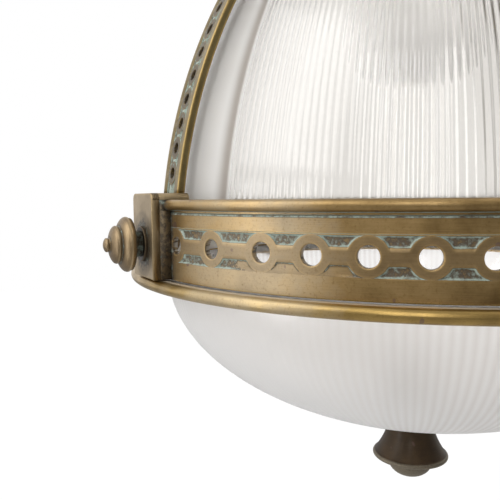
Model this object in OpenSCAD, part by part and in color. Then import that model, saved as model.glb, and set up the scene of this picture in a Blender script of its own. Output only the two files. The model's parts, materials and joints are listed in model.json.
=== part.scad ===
// Pendant light: a pierced brass gallery carries a tall ribbed glass dome, and a
// ring with a shallow ribbed glass bowl is hinged under it. Two straps rise from
// ears on the gallery to a crown with a hanging eye.
// Millimetres, +Z up, origin at the centre of the hanging eye. The straps lie
// along X, the bowl ring's hinge is at +Y and its catch at -Y.
// Heights in the modules are from the line of the gallery's hole centres.

/* [Gallery band] */
// Radius of the band's outer face
band_r = 170; // [140:1:210]
// Wall of the band
band_wall = 3; // [2.4:0.1:4]
// Band's lower edge below the line of holes
band_drop = 17.6; // [14:0.1:24]
// Plain wall above the line of holes, up to the bead
band_rise = 17.2; // [14:0.1:24]
// Radius of the top bead's section
bead_r = 2.6; // [1.8:0.1:3.4]
// Top bead's centre outside the band's face
bead_out = 1.2; // [0.4:0.1:2]
// Height of the groove under the top bead
groove_h = 1.4; // [0.8:0.1:2]
// Depth of that groove
groove_depth = 0.8; // [0.4:0.1:1.2]
// Width of the ledge that carries the dome, inwards from the wall
ledge_w = 15; // [12:0.5:20]
// Ledge's underside above the line of holes
ledge_z = 9.4; // [8.8:0.1:11]
// Thickness of the ledge
ledge_t = 2.4; // [1.6:0.1:3]

/* [Frieze] */
// Bore of the frieze holes
hole_d = 9; // [6:0.1:11]
// Outer width of a frieze ring
ring_d = 16.6; // [13:0.1:20]
// Height of the bars between rings
bar_h = 6.8; // [4:0.1:9]
// Angle from one ring to the next, degrees
ring_pitch = 7.86; // [7.4:0.02:8.1]
// Rings on each side of the front and back rings
rings_side = 10; // [8:1:10]
// Rings from the front ring that keep the plain pitch
rings_even = 8; // [6:1:8]
// Extra angle at each ring past those, towards the ears, degrees
ring_spread = 2.1; // [0:0.1:2.3]
// Depth of the pockets between the rings
pocket_depth = 0.9; // [0.5:0.1:1.4]
// Half width of a pocket at the bar, as a part of the gap between ring centres
pocket_in = 0.14; // [0.1:0.01:0.16]
// Half width of a pocket at the frieze's edge, in the same parts
pocket_out = 0.27; // [0.22:0.01:0.3]

/* [Straps] */
// Radius of the strap's outer curve
strap_arc_r = 294; // [270:1:330]
// Centre height of that curve
strap_arc_z = -8; // [-14:1:0]
// Strap's outer face inside the band's face at its widest
strap_inset = 4.2; // [3:0.1:6]
// Width of a strap
strap_w = 22; // [18:0.5:26]
// Thickness of a strap
strap_t = 4.1; // [3:0.1:5]
// Bore of the strap's holes
strap_hole_d = 5.2; // [4:0.1:6]
// Outer width of a ring on the strap
strap_ring_d = 10; // [8:0.1:12]
// Height of the bars on the strap
strap_bar_h = 4; // [3:0.1:5]
// Distance between rings along the strap
strap_pitch = 13.15; // [12.6:0.05:15]

/* [Ears and knobs] */
// Width of an ear
ear_w = 32.5; // [28:0.5:38]
// Thickness of an ear's upright plate
ear_t = 4; // [3:0.1:5]
// Ear plate's inner face outside the band's face
ear_gap = 5.1; // [4.6:0.1:7]
// Thickness of an ear's top plate
ear_top_t = 3.3; // [2.4:0.1:4.5]
// Corner radius at the top of an ear
ear_corner = 3; // [1:0.1:5]
// Ear's lower edge above the band's lower edge
ear_foot = 0.4; // [0.2:0.1:3]
// Diameter of the stud that holds a knob
stud_d = 6; // [5:0.1:7]
// Diameter of a knob's flange
knob_d = 28; // [24:0.5:32]
// Diameter of a knob's middle tier
knob_tier_d = 19.2; // [16:0.2:21]
// Diameter of a knob's tip
knob_tip_d = 7.2; // [6:0.2:9]
// Diameter of a knob's neck
knob_neck_d = 13; // [11:0.2:15]
// Length of a knob's neck
knob_neck_l = 5; // [3:0.1:8]
// Thickness of a knob's flange
knob_flange_t = 5.8; // [5:0.1:8]
// Length of a knob's middle tier
knob_tier_l = 4.9; // [4:0.1:6]
// Length of a knob's tip
knob_tip_l = 3.1; // [2.6:0.1:5]
// Diameter of a knob's washer
knob_washer_d = 18; // [15:0.5:24]
// Thickness of a knob's washer
knob_washer_t = 1.4; // [1:0.1:2.5]

/* [Dome glass] */
// Gap between the straps and the dome
dome_gap = 4; // [3.2:0.1:6]
// Wall of the dome
dome_wall = 4; // [3:0.1:5]
// Gap between the dome's foot and the band's wall
dome_play = 4; // [2:0.5:7]
// Height of that lip
dome_lip_h = 4.5; // [3:0.1:7]
// Thickness of the felt rings
felt_t = 1.5; // [1:0.1:2]

/* [Bowl glass and ring] */
// Width of the bowl's lip, outwards from the bowl
lip_w = 14.1; // [12:0.1:18]
// Depth of the bowl under its lip
bowl_depth = 93.3; // [60:0.1:120]
// Wall of the bowl
bowl_wall = 4; // [3:0.1:5]
// Thickness of the bowl's lip
lip_t = 2.4; // [1.8:0.1:2.4]
// Thickness of the felt under the lip
lip_felt_t = 0.8; // [0.5:0.1:0.8]
// Radius of the bowl ring's bead section
ring_bead_r = 3.1; // [2.6:0.1:3.6]
// Centre of the ring's bead outside the band's face
ring_bead_out = 5.8; // [5:0.1:7]
// Centre of the ring's bead below the band's edge
ring_bead_drop = 3.3; // [3.2:0.1:4.5]
// Ring's flat top below the band's edge
ring_gap = 1.3; // [1.1:0.1:2]
// Thickness of the ring's shelf under the lip
shelf_t = 1.8; // [1.2:0.1:1.8]

/* [Finial] */
// Radius of the finial's rim
finial_r = 24.2; // [20:0.2:28]
// Radius of the finial's neck
finial_neck_r = 15; // [12:0.2:18]
// Height of the finial from its seat to the rim
finial_neck_h = 27; // [22:0.5:34]
// Height of the finial from the rim to its tip
finial_tip_h = 15.4; // [10:0.2:18]
// Radius of the washer over the finial
finial_washer_r = 19.5; // [17:0.5:22]
// Thickness of that washer
finial_washer_t = 2; // [1.4:0.1:3]
// Diameter of the finial's stud
finial_stud_d = 8; // [6:0.5:10]

/* [Crown and hanging eye] */
// Radius of the crown cap's rim
crown_r = 66; // [62:0.5:70]
// Height over which the cap covers the dome's top edge
cap_lap = 6; // [4:0.5:9]
// Radius of the crown cap's flat top
crown_flat_r = 26; // [24:0.5:30]
// Wall of the crown cap
crown_wall = 2.5; // [1.6:0.1:3]
// Height of the turned boss on the cap
boss_h = 21; // [18:0.5:30]
// Radius of the hanger tube
tube_r = 5; // [4.5:0.1:6]
// Bore radius of the hanger tube
tube_bore_r = 3.5; // [3:0.1:4]
// Radius of the hanging eye's hole
eye_r = 8; // [6:0.5:10]
// Width of metal round the eye's hole
eye_rim = 7; // [5:0.5:9]
// Thickness of the hanging eye
eye_t = 9; // [7:0.5:12]
// Height of the collar under the eye
collar_h = 12; // [11.5:0.5:16]
// Radius of that collar
collar_r = 10; // [8.5:0.5:13]
// Radius of the cord's way out of the collar
cord_hole_r = 3.2; // [2.4:0.1:3.4]

/* [Lampholder and bulb] */
// Outer radius of the lampholder's shell
holder_r = 19.5; // [18.5:0.1:23]
// Height of the lampholder's shell
holder_h = 34; // [30:0.5:40]
// Height of the lampholder's cap
holder_cap_h = 20; // [16:0.5:26]
// Lampholder's top below the crown cap's flat top
holder_drop = 12; // [11:0.5:20]
// Radius of the bulb's screw cap
bulb_cap_r = 13; // [12.6:0.1:13.1]
// Greatest radius of the bulb
bulb_r = 30; // [22:0.5:40]
// Length of the bulb's glass under the lampholder
bulb_l = 78; // [62:1:95]

/* [Hinge and catch] */
// Radius of the hinge knuckles
knuckle_r = 4.5; // [4.2:0.1:5.5]
// Diameter of the hinge pin
pin_d = 4; // [3:0.1:5]
// Length of the ring's middle knuckle
knuckle_mid = 11; // [9:0.5:16]
// Length of each outer knuckle
knuckle_side = 8; // [6:0.5:12]
// Hinge axis outside the ring's bead
hinge_out = 7.1; // [6.6:0.1:9]
// Thickness of the hinge leaves
leaf_t = 2.6; // [2:0.1:3.2]
// Height of the band's hinge leaf
leaf_h = 28; // [24:0.5:30]
// Thickness of the spring clips
clip_t = 0.6; // [0.4:0.1:0.7]
// Width of the spring clips
clip_w = 12; // [9:0.5:16]
// Height of the catch's tongue
tongue_h = 13; // [9:0.5:13]

/* [Hidden] */
$fn = 96;
fine = 180;         // facets of the large rings

// Clearances
slip = 0.05;        // a turning or sliding fit, on the radius
loose = 0.3;        // a bolt in its hole, on the radius, and parts that only face each other
thread_fit = 0.02;  // a nut on its bolt, on the radius
face_gap = 0.1;     // faces that turn on each other
lap = 0.5;          // how far joined shapes run into each other
past = 1;           // how far a cutter runs past what it cuts

// Screw heads
head_ratio = 1.8;   // a head's radius over its shank's
slot_w = 0.8;
slot_depth = 0.7;

// The straps, the dome and the crown cap share one family of curves about this centre
arc_c = band_r - strap_inset - strap_arc_r;
function curve_r(inside) = strap_arc_r - inside;
function curve_x(inside, z) = arc_c + sqrt(pow(curve_r(inside), 2) - pow(z - strap_arc_z, 2));
function curve_z(inside, r) = strap_arc_z + sqrt(pow(curve_r(inside), 2) - pow(r - arc_c, 2));

// Gallery levels
bead_z = band_rise + bead_r;
band_top = bead_z + bead_r;
band_in = band_r - band_wall;
dome_z = ledge_z + ledge_t + felt_t;
dome_lip_r = band_in - dome_play;
ear_top = band_top + ear_top_t;

// Dome and crown
dome_in = strap_t + dome_gap;
cap_out = strap_t + slip;
cap_in = cap_out + crown_wall;
crown_top = curve_z(strap_t, crown_flat_r);
crown_rim_z = curve_z(strap_t, crown_r);
dome_top = crown_rim_z + cap_lap;
locknut_h = 5;
locknut_r = 9.5;
nut_seat = 0.25;    // a flat nut under the curved cap

// The turned boss: a foot, a cove and a roll under the eye
boss_foot_r = crown_flat_r - 2;
boss_foot_h = 2.4;
boss_neck_h = boss_h - 8;
boss_roll_r = 2.6;
boss_roll_z = boss_h - 4;

// Collar and hanging eye
collar_z = crown_top + boss_h;
collar_edge = 2;
grub_r = 1.6;
grub_z = collar_z + 2.2;
tube_top = collar_z + 4.2;
cord_hole_z = collar_z + collar_h - cord_hole_r - 1.2;
eye_z = collar_z + collar_h + eye_r + eye_rim - 2;
gallery_z = -eye_z;

// Strap holes and screws, as angles about the curve's centre
strap_step = strap_pitch / strap_arc_r * 180 / PI;
strap_first_a = asin((ear_top - strap_arc_z) / strap_arc_r) + 2.06;
strap_screw_r = 2;
strap_head_h = 2;
strap_nut_t = 3.2;
strap_nut_r = 4;
screw_out_a = asin((dome_top - strap_arc_z + strap_nut_r + 1) / curve_r(cap_in + strap_nut_t));
screw_in_a = screw_out_a + 1.8;
strap_end_a = screw_in_a + 1.4;
strap_rings = floor((screw_out_a - 1.6 - strap_first_a) / strap_step);

// Ears and knobs, measured outwards from the axis
ear_in = curve_x(strap_t, ear_top) - loose;
ear_x = band_r + ear_gap;
ear_face = ear_x + ear_t;
washer_x = ear_face + face_gap;
knob_x = washer_x + knob_washer_t + face_gap;
flange_x = knob_x + knob_neck_l;
tier_x = flange_x + knob_flange_t;
tip_x = tier_x + knob_tier_l;
knob_end = tip_x + knob_tip_l;
stud_end = tier_x + 1;
nut_t = 5;
nut_w = 10;
nut_in = band_in - nut_t - 0.4;
stud_in = nut_in - 1.6;

// Bowl ring
ring_top = -band_drop - ring_gap;
ring_bead_z = -band_drop - ring_bead_drop;
ring_bead_x = band_r + ring_bead_out;
shelf_z = ring_bead_z - ring_bead_r;
lip_z = shelf_z + shelf_t + lip_felt_t;
rebate_r = band_r + 2;
lip_r = rebate_r - 0.6;
bowl_r = lip_r - lip_w;
shelf_in = bowl_r + 1.3;
bowl_bottom = lip_z - bowl_depth;

// Clips in the ring's rebate; the last one carries the catch's tongue
clip_angles = [30, 150, 270];
clip_l = 9.6;
clip_x = rebate_r - 7;
clip_screw_x = rebate_r + 1.4;
clip_screw_r = 0.8;
clip_screw_l = 2.9;
tongue_bump_r = min(1, band_in - clip_x - clip_t - 0.4);

// Hinge
hinge_y = ring_bead_x + ring_bead_r + hinge_out;
hinge_z = ring_bead_z;
knuckle_gap = 0.3;
pin_l = knuckle_mid + 2 * knuckle_side + 2 * knuckle_gap;
pin_head_r = pin_d / 2 + 1;
pin_head_t = 1.6;
leaf_w = knuckle_mid + 2 * knuckle_side + 8;
leaf_low = -band_drop + 3;
leaf_screw_r = 2;
leaf_screw_y = 12;
leaf_screw_z = leaf_low + leaf_h / 2 + 2;
leaf_head_t = 1.6;
ring_leaf_x = ring_bead_x - 5;
ring_screw_x = ring_bead_x - 1;
ring_screw_r = 1.3;
ring_head_t = 1.2;
ring_screw_depth = 2.8;

// Finial, from the bowl down
finial_felt_z = bowl_bottom - loose;
finial_washer_z = finial_felt_z - felt_t - face_gap;
finial_z = finial_washer_z - finial_washer_t - face_gap;
finial_rim_z = finial_z - finial_neck_h;
finial_tip_z = finial_rim_z - finial_tip_h;
finial_edge = 1.5;
finial_foot_h = 8;
bowl_bore_r = finial_stud_d / 2 + 1;
plate_r = 14;
plate_t = 2;
plate_z = lip_z + loose - (bowl_depth - bowl_wall) * sqrt(1 - pow(plate_r / (bowl_r - bowl_wall), 2));
finial_nut_t = 5.5;
finial_stud_l = plate_z + plate_t + finial_nut_t + 1 - finial_z + finial_neck_h * 0.75;

// Lampholder and bulb
holder_top = crown_top - holder_drop;
tube_low = holder_top - 4;
shell_top = holder_top - holder_cap_h;
shell_low = shell_top - holder_h;
shell_t = 0.9;
cap_shoulder_r = 10;
cap_t = 1.4;
cap_neck_r = tube_r + 4;
insert_top = shell_top - 2;
insert_h = 25;
insert_floor = 4;
liner_t = 0.5;
liner_r = bulb_cap_r + loose;
contact_z = insert_top - 5;
contact_r = 3;
contact_t = 1;
terminal_x = 8;
terminal_r = 1.5;
shade_ring_z = shell_low + 3;
shade_ring_h = 10;
tip_h = 4;
cap_top = contact_z - 3 - tip_h;
globe_z = shell_low - 1;
bulb_cap_t = 0.5;
globe_wall = 1.2;
globe_neck_h = 6;
globe_c = globe_z - bulb_l + bulb_r;
globe_shoulder_a = 18;
stem_r = 3;
stem_l = 28;
filament_z = globe_z - 43;

// Colours
brass = "#8f7442";
aged = "#7d6638";
bright = "#b08d4a";
dark = "#4a3d28";
clear = [0.92, 0.93, 0.92, 0.55];
milk = [0.87, 0.85, 0.84, 0.8];
felt = "#5b4a3a";
china = "#e9e4d8";
steel = "#8c8c88";

module at_gallery() translate([0, 0, gallery_z]) children();
module on_side(a) rotate([0, 0, a]) children();

// Turned about the curve's centre in the XZ plane, as things on a strap are
module on_curve(a) translate([arc_c, 0, strap_arc_z]) rotate([0, -a, 0]) children();

// A cylinder along +X that starts at x
module rod(x, r, l) translate([x, 0, 0]) rotate([0, 90, 0]) cylinder(r = r, h = l);

// Points of an arc with centre c, radius r, from angle a to b
function arc(c, r, a, b, n = 6) =
    [for (i = [0:n]) let (t = a + (b - a) * i / n) c + r * [cos(t), sin(t)]];

// A ring with the section [r0..r1] x [z0..z1]
module hoop(r0, r1, z0, z1) {
    rotate_extrude($fn = fine) translate([r0, z0]) square([r1 - r0, z1 - z0]);
}

// The area between the curves `inside` and `inside + wall` from the strap's outer one
module curve_band(inside, wall) {
    translate([arc_c, strap_arc_z]) difference() {
        circle(r = curve_r(inside), $fn = 2 * fine);
        circle(r = curve_r(inside + wall), $fn = 2 * fine);
    }
}

// Gallery

// Angle of frieze ring k from the front or back ring
function ring_at(k) = k * ring_pitch + sign(k) * max(0, abs(k) - rings_even) * ring_spread;

// The pockets above and below a bar, as prisms along +X: w is the gap between ring
// centres, h the frieze's height, b the bar's height
module pockets(w, h, b) {
    for (s = [-1, 1])
        rotate([90, 0, 90])
            linear_extrude(height = pocket_depth + past)
                polygon([
                    [-w * pocket_in, s * b / 2], [w * pocket_in, s * b / 2],
                    [w * pocket_out, s * h / 2], [-w * pocket_out, s * h / 2]
                ]);
}

module band_profile() difference() {
    union() {
        translate([band_in, -band_drop]) square([band_wall, band_drop + bead_z]);
        translate([band_r + bead_out, bead_z]) circle(r = bead_r);
        translate([band_in, bead_z]) square([band_wall + bead_out, bead_r]);
    }
    translate([band_r - groove_depth, band_rise - groove_h]) square([past, groove_h]);
}

module gallery_band() color(brass) at_gallery() difference() {
    rotate_extrude($fn = fine) band_profile();
    for (half = [-90, 90], k = [-rings_side:rings_side])
        on_side(half + ring_at(k)) rod(band_in - past, hole_d / 2, band_wall + 2 * past);
    for (half = [-90, 90], k = [-rings_side:rings_side - 1])
        let (a = ring_at(k), b = ring_at(k + 1), gap = (b - a) * PI / 180 * band_r)
            on_side(half + (a + b) / 2)
                translate([band_r - pocket_depth, 0, 0]) pockets(gap, ring_d, bar_h);
    for (a = [0, 180]) on_side(a) rod(band_in - past, stud_d / 2 + loose, band_wall + 2 * past);
    at_leaf_screws() rod(band_in - past, leaf_screw_r + slip, band_wall + 2 * past);
}

module dome_ledge() color(aged) at_gallery()
    hoop(band_in - ledge_w, band_in - 2 * face_gap, ledge_z, ledge_z + ledge_t);

// Dome and crown

module dome_gasket() color(felt) at_gallery()
    hoop(curve_x(dome_in, dome_z) - dome_wall, dome_lip_r, ledge_z + ledge_t, dome_z);

module dome_glass() color(clear) at_gallery() rotate_extrude($fn = fine) {
    intersection() {
        curve_band(dome_in, dome_wall);
        translate([0, dome_z]) square([band_r, dome_top - dome_z]);
    }
    translate([curve_x(dome_in, dome_z) - dome_wall / 2, dome_z])
        square([dome_lip_r - curve_x(dome_in, dome_z) + dome_wall / 2, dome_lip_h]);
}

module crown_gasket() color(felt) at_gallery() rotate_extrude($fn = fine) intersection() {
    curve_band(cap_in + thread_fit, dome_in - cap_in - 2 * thread_fit);
    translate([0, crown_rim_z + lap]) square([crown_r, dome_top - crown_rim_z - 2 * lap]);
}

module crown_cap() color(brass) at_gallery() difference() {
    rotate_extrude($fn = fine) intersection() {
        union() {
            curve_band(cap_out, crown_wall);
            translate([0, crown_top - crown_wall]) square([crown_flat_r, crown_wall]);
        }
        translate([0, crown_rim_z]) square([crown_r, crown_top - crown_rim_z]);
    }
    translate([0, 0, crown_top - 2 * crown_wall]) cylinder(r = tube_r + loose, h = 3 * crown_wall);
    for (side = [0, 180]) on_side(side) strap_screw_holes(cap_in);
}

module crown_boss() color(aged) at_gallery() translate([0, 0, crown_top]) difference() {
    rotate_extrude() polygon(concat(
        [[0, 0], [boss_foot_r, 0]],
        arc([boss_foot_r, boss_neck_h], boss_neck_h - boss_foot_h, -90, -168, 8),
        arc([collar_r + boss_roll_r, boss_roll_z], boss_roll_r, -80, 80, 8),
        [[collar_r + 1, boss_h], [0, boss_h]]
    ));
    translate([0, 0, -past]) cylinder(r = tube_r + slip, h = boss_h + 2 * past);
}

module crown_locknut() color(bright) at_gallery()
    translate([0, 0, crown_top - crown_wall - locknut_h]) difference() {
        cylinder(r = locknut_r, h = locknut_h, $fn = 6);
        translate([0, 0, -past]) cylinder(r = tube_r + slip, h = locknut_h + 2 * past);
    }

module hanger_tube() color(bright) at_gallery() difference() {
    translate([0, 0, tube_low]) cylinder(r = tube_r, h = tube_top - tube_low);
    translate([0, 0, tube_low - past]) cylinder(r = tube_bore_r, h = tube_top - tube_low + 2 * past);
}

module hanging_eye() color(brass) at_gallery() difference() {
    union() {
        translate([0, 0, eye_z]) rotate([90, 0, 0]) cylinder(r = eye_r + eye_rim, h = eye_t, center = true);
        translate([0, 0, collar_z]) rotate_extrude() polygon([
            [0, 0], [collar_r, 0], [collar_r, collar_h - collar_edge], [collar_r - collar_edge, collar_h],
            [eye_t / 2, collar_h + 3], [0, collar_h + 3]
        ]);
    }
    translate([0, 0, eye_z]) rotate([90, 0, 0]) cylinder(r = eye_r, h = 4 * eye_t, center = true);
    translate([0, 0, collar_z - past]) cylinder(r = tube_r + slip, h = tube_top - collar_z + past + slip);
    translate([0, 0, collar_z]) cylinder(r = tube_bore_r, h = cord_hole_z + cord_hole_r - collar_z);
    translate([0, 0, cord_hole_z]) rotate([-90, 0, 0]) cylinder(r = cord_hole_r, h = 2 * collar_r);
    translate([0, 0, grub_z]) rotate([0, -90, 0]) cylinder(r = grub_r + slip, h = 2 * collar_r);
}

module eye_grub_screw() color(steel) at_gallery() translate([-tube_r - slip, 0, grub_z]) rotate([0, -90, 0])
    difference() {
        cylinder(r = grub_r, h = collar_r - tube_r - 0.4);
        translate([-slot_w / 2, -2 * grub_r, collar_r - tube_r - 0.4 - slot_depth])
            cube([slot_w, 4 * grub_r, past]);
    }

// Straps, drawn at +X

module strap_screw_holes(reach) {
    for (a = [screw_out_a, screw_in_a])
        on_curve(a) rod(curve_r(reach) - past, strap_screw_r + loose, reach + 2 * past);
}

module strap() difference() {
    translate([arc_c, 0, strap_arc_z]) rotate([90, 0, 0])
        rotate_extrude(angle = strap_end_a, $fn = 2 * fine)
            translate([curve_r(strap_t), -strap_w / 2]) square([strap_t, strap_w]);
    translate([ear_in - ear_w, -strap_w, strap_arc_z - past])
        cube([2 * ear_w, 2 * strap_w, ear_top - strap_arc_z + past]);
    for (k = [0:strap_rings])
        on_curve(strap_first_a + k * strap_step)
            rod(curve_r(strap_t) - past, strap_hole_d / 2, strap_t + 2 * past);
    for (k = [0:strap_rings - 1])
        on_curve(strap_first_a + (k + 0.5) * strap_step)
            translate([strap_arc_r - pocket_depth, 0, 0]) rotate([90, 0, 0])
                pockets(strap_pitch, strap_ring_d, strap_bar_h);
    strap_screw_holes(strap_t);
}

module left_strap() color(brass) at_gallery() on_side(180) strap();
module right_strap() color(brass) at_gallery() on_side(0) strap();

module strap_screws() color(bright) at_gallery()
    for (side = [0, 180], a = [screw_out_a, screw_in_a])
        on_side(side) on_curve(a) difference() {
            union() {
                rod(curve_r(cap_in + strap_nut_t + 1), strap_screw_r, cap_in + strap_nut_t + 1 + lap);
                rod(strap_arc_r, strap_screw_r * head_ratio, strap_head_h);
            }
            translate([strap_arc_r + strap_head_h - slot_depth, -slot_w / 2, -2 * strap_screw_r])
                cube([past, slot_w, 4 * strap_screw_r]);
        }

module strap_nuts() color(bright) at_gallery()
    for (side = [0, 180], a = [screw_out_a, screw_in_a])
        on_side(side) on_curve(a) difference() {
            translate([curve_r(cap_in + strap_nut_t), 0, 0]) rotate([0, 90, 0])
                cylinder(r = strap_nut_r, h = strap_nut_t - nut_seat, $fn = 6);
            rod(curve_r(cap_in + strap_nut_t) - past, strap_screw_r + thread_fit, strap_nut_t + 2 * past);
        }

// Ears, studs and knobs, drawn at +X

module ear_outline() polygon(concat(
    [[-ear_w / 2, -band_drop + ear_foot], [ear_w / 2, -band_drop + ear_foot]],
    arc([ear_w / 2 - ear_corner, ear_top - ear_corner], ear_corner, 0, 90),
    arc([-ear_w / 2 + ear_corner, ear_top - ear_corner], ear_corner, 90, 180)
));

module ear() difference() {
    union() {
        translate([ear_x, 0, 0]) rotate([90, 0, 90]) linear_extrude(height = ear_t) ear_outline();
        translate([ear_in, 0, 0]) rotate([90, 0, 90]) linear_extrude(height = ear_x - ear_in + lap)
            intersection() {
                ear_outline();
                translate([-ear_w / 2, band_top]) square([ear_w, ear_top_t]);
            }
        // A block behind the plate, which stands against the band under its top bead
        difference() {
            translate([band_r - past, -ear_w / 2, -band_drop + ear_foot])
                cube([ear_gap + past + lap, ear_w, band_rise - groove_h - loose + band_drop - ear_foot]);
            cylinder(r = band_r + loose, h = 4 * band_rise, center = true, $fn = fine);
        }
    }
    rod(band_r - past, stud_d / 2 + loose, ear_gap + ear_t + 2 * past);
}

module left_ear() color(aged) at_gallery() on_side(180) ear();
module right_ear() color(aged) at_gallery() on_side(0) ear();

module stud() rod(stud_in, stud_d / 2, stud_end - stud_in);
module left_stud() color(bright) at_gallery() on_side(180) stud();
module right_stud() color(bright) at_gallery() on_side(0) stud();

module stud_nuts() color(bright) at_gallery() for (side = [0, 180]) on_side(side) difference() {
    translate([nut_in, 0, 0]) rotate([0, 90, 0]) cylinder(r = nut_w / 2 / cos(30), h = nut_t, $fn = 6);
    rod(nut_in - past, stud_d / 2 + thread_fit, nut_t + 2 * past);
}

module knob_washer() difference() {
    rod(washer_x, knob_washer_d / 2, knob_washer_t);
    rod(washer_x - past, stud_d / 2 + 2 * face_gap, knob_washer_t + 2 * past);
}
module left_knob_washer() color(dark) at_gallery() on_side(180) knob_washer();
module right_knob_washer() color(dark) at_gallery() on_side(0) knob_washer();

// A turned tier that starts at x, with its edge rounded by e and a full shoulder that ends at the
// next tier's foot (next_r, next_x); each point is [radius, distance along the axis]
function tier(r, x, e, next_r, next_x) =
    let (edge = arc([r - e, x + 1.6 * e], e, -60, 20), start = edge[len(edge) - 1])
    concat([[r - e / 2, x]], edge, [for (t = [18:12:78])
        [next_r + (start[0] - next_r) * pow(cos(t), 1.25), start[1] + (next_x - start[1]) * pow(sin(t), 1.25)]]);

module knob() difference() {
    rotate([0, 90, 0]) rotate_extrude() polygon(concat(
        [[0, knob_x], [knob_neck_d / 2, knob_x], [knob_neck_d / 2, flange_x]],
        tier(knob_d / 2, flange_x, 1.3, knob_tier_d / 2 - 0.5, tier_x),
        tier(knob_tier_d / 2, tier_x, 1, knob_tip_d / 2 - 0.4, tip_x),
        tier(knob_tip_d / 2, tip_x, 0.8, 0, knob_end),
        [[0, knob_end]]
    ));
    rod(knob_x - past, stud_d / 2 + slip, stud_end - knob_x + past + lap);
}
module left_knob() color(brass) at_gallery() on_side(180) knob();
module right_knob() color(brass) at_gallery() on_side(0) knob();

// Lampholder and bulb

// Outline of the holder's cap, or of the space in it where `wall` is set
function cap_points(wall) = concat(
    [[0, shell_top - (wall > 0 ? past : 0)], [holder_r - wall, shell_top - (wall > 0 ? past : 0)]],
    arc([holder_r - cap_shoulder_r, shell_top + 4], cap_shoulder_r - wall, 0, 80, 8),
    [[0, holder_top - (wall > 0 ? 7.4 : 3)]]
);

module holder_cap() color(aged) at_gallery() difference() {
    union() {
        rotate_extrude() polygon(cap_points(0));
        translate([0, 0, holder_top - 8]) cylinder(r = cap_neck_r, h = 8);
    }
    rotate_extrude() polygon(cap_points(cap_t));
    translate([0, 0, shell_top]) cylinder(r = tube_r + slip, h = holder_cap_h + past);
}

module holder_shell() color(aged) at_gallery()
    hoop(holder_r - shell_t, holder_r, shell_low, shell_top - slip);

module holder_insert() color(china) at_gallery() translate([0, 0, insert_top - insert_h]) difference() {
    cylinder(r = holder_r - shell_t - slip, h = insert_h);
    translate([0, 0, -past]) cylinder(r = liner_r + liner_t + slip, h = insert_h - insert_floor + past);
    for (x = [-terminal_x, terminal_x])
        translate([x, 0, insert_h - insert_floor - past]) cylinder(r = terminal_r + face_gap, h = 6);
}

module holder_thread() color(bright) at_gallery()
    hoop(liner_r, liner_r + liner_t, insert_top - insert_h + 1, insert_top - insert_floor - lap);

module holder_contact() color(bright) at_gallery() translate([0, 0, contact_z]) {
    translate([0, 0, -2.6]) cylinder(r = contact_r, h = 3.6 - slip);
    translate([-1.5 * contact_r, -2, -contact_t]) cube([3 * contact_r, 4, contact_t]);
}

module holder_ring() color(china) at_gallery() {
    hoop(holder_r + slip, holder_r + 3, shade_ring_z, shade_ring_z + shade_ring_h);
    hoop(holder_r + slip, holder_r + 6, shade_ring_z + shade_ring_h - 4, shade_ring_z + shade_ring_h);
}

module terminal_screws() color(steel) at_gallery()
    for (x = [-terminal_x, terminal_x]) translate([x, 0, insert_top - insert_floor]) {
        cylinder(r = terminal_r, h = insert_floor + loose);
        translate([0, 0, insert_floor + loose]) cylinder(r = terminal_r * head_ratio, h = 1.6);
    }

// Outline of the bulb's glass: a neck, an S-shaped shoulder and a globe; `in` is
// how far inside the outer surface it runs
function globe_points(in) =
    let (neck = bulb_cap_r + 0.6, foot = globe_z - globe_neck_h,
         side = bulb_r * cos(globe_shoulder_a), low = globe_c + bulb_r * sin(globe_shoulder_a))
    concat(
        [[0, globe_z - in], [neck - 1 - in, globe_z - in]],
        [for (i = [0:8]) let (u = i / 8)
            [neck - in + (side - neck) * (1 - cos(180 * u)) / 2, foot + (low - foot) * u]],
        arc([0, globe_c], bulb_r - in, globe_shoulder_a - 4, -90, 14)
    );

module bulb_globe() color(milk) at_gallery() rotate_extrude() difference() {
    polygon(globe_points(0));
    polygon(globe_points(globe_wall));
}

module bulb_cap() color(steel) at_gallery() difference() {
    translate([0, 0, globe_z + slip]) cylinder(r = bulb_cap_r, h = cap_top - globe_z - 2 * slip);
    translate([0, 0, globe_z - past]) cylinder(r = bulb_cap_r - bulb_cap_t, h = cap_top - globe_z + past - 1.5);
}

module bulb_tip() color(dark) at_gallery() translate([0, 0, cap_top]) {
    cylinder(r1 = 8.5, r2 = 4.6, h = tip_h - 1.2);
    translate([0, 0, tip_h - 1.2]) cylinder(r = 4.4, h = 1.2);
}

module bulb_filament() color(steel) at_gallery() {
    translate([0, 0, globe_z - stem_l - 2]) cylinder(r = stem_r, h = stem_l);
    for (s = [-1, 1]) {
        translate([s * 2.2, 0, filament_z - 1]) cylinder(r = 0.6, h = 14.5);
        translate([s * 6, 0, filament_z]) sphere(r = 1.2);
    }
    translate([-7, 0, filament_z]) rotate([0, 90, 0]) cylinder(r = 0.8, h = 14);
}

// Hinge at the back: drawn at +X, then turned to +Y

module at_leaf_screws() on_side(90)
    for (y = [-leaf_screw_y, leaf_screw_y]) translate([0, y, leaf_screw_z]) children();

module knuckle(y0, l) translate([hinge_y, y0, hinge_z]) rotate([-90, 0, 0])
    cylinder(r = knuckle_r, h = l);

module pin_bore() translate([hinge_y, -leaf_w, hinge_z]) rotate([-90, 0, 0])
    cylinder(r = pin_d / 2 + slip, h = 2 * leaf_w);

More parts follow.
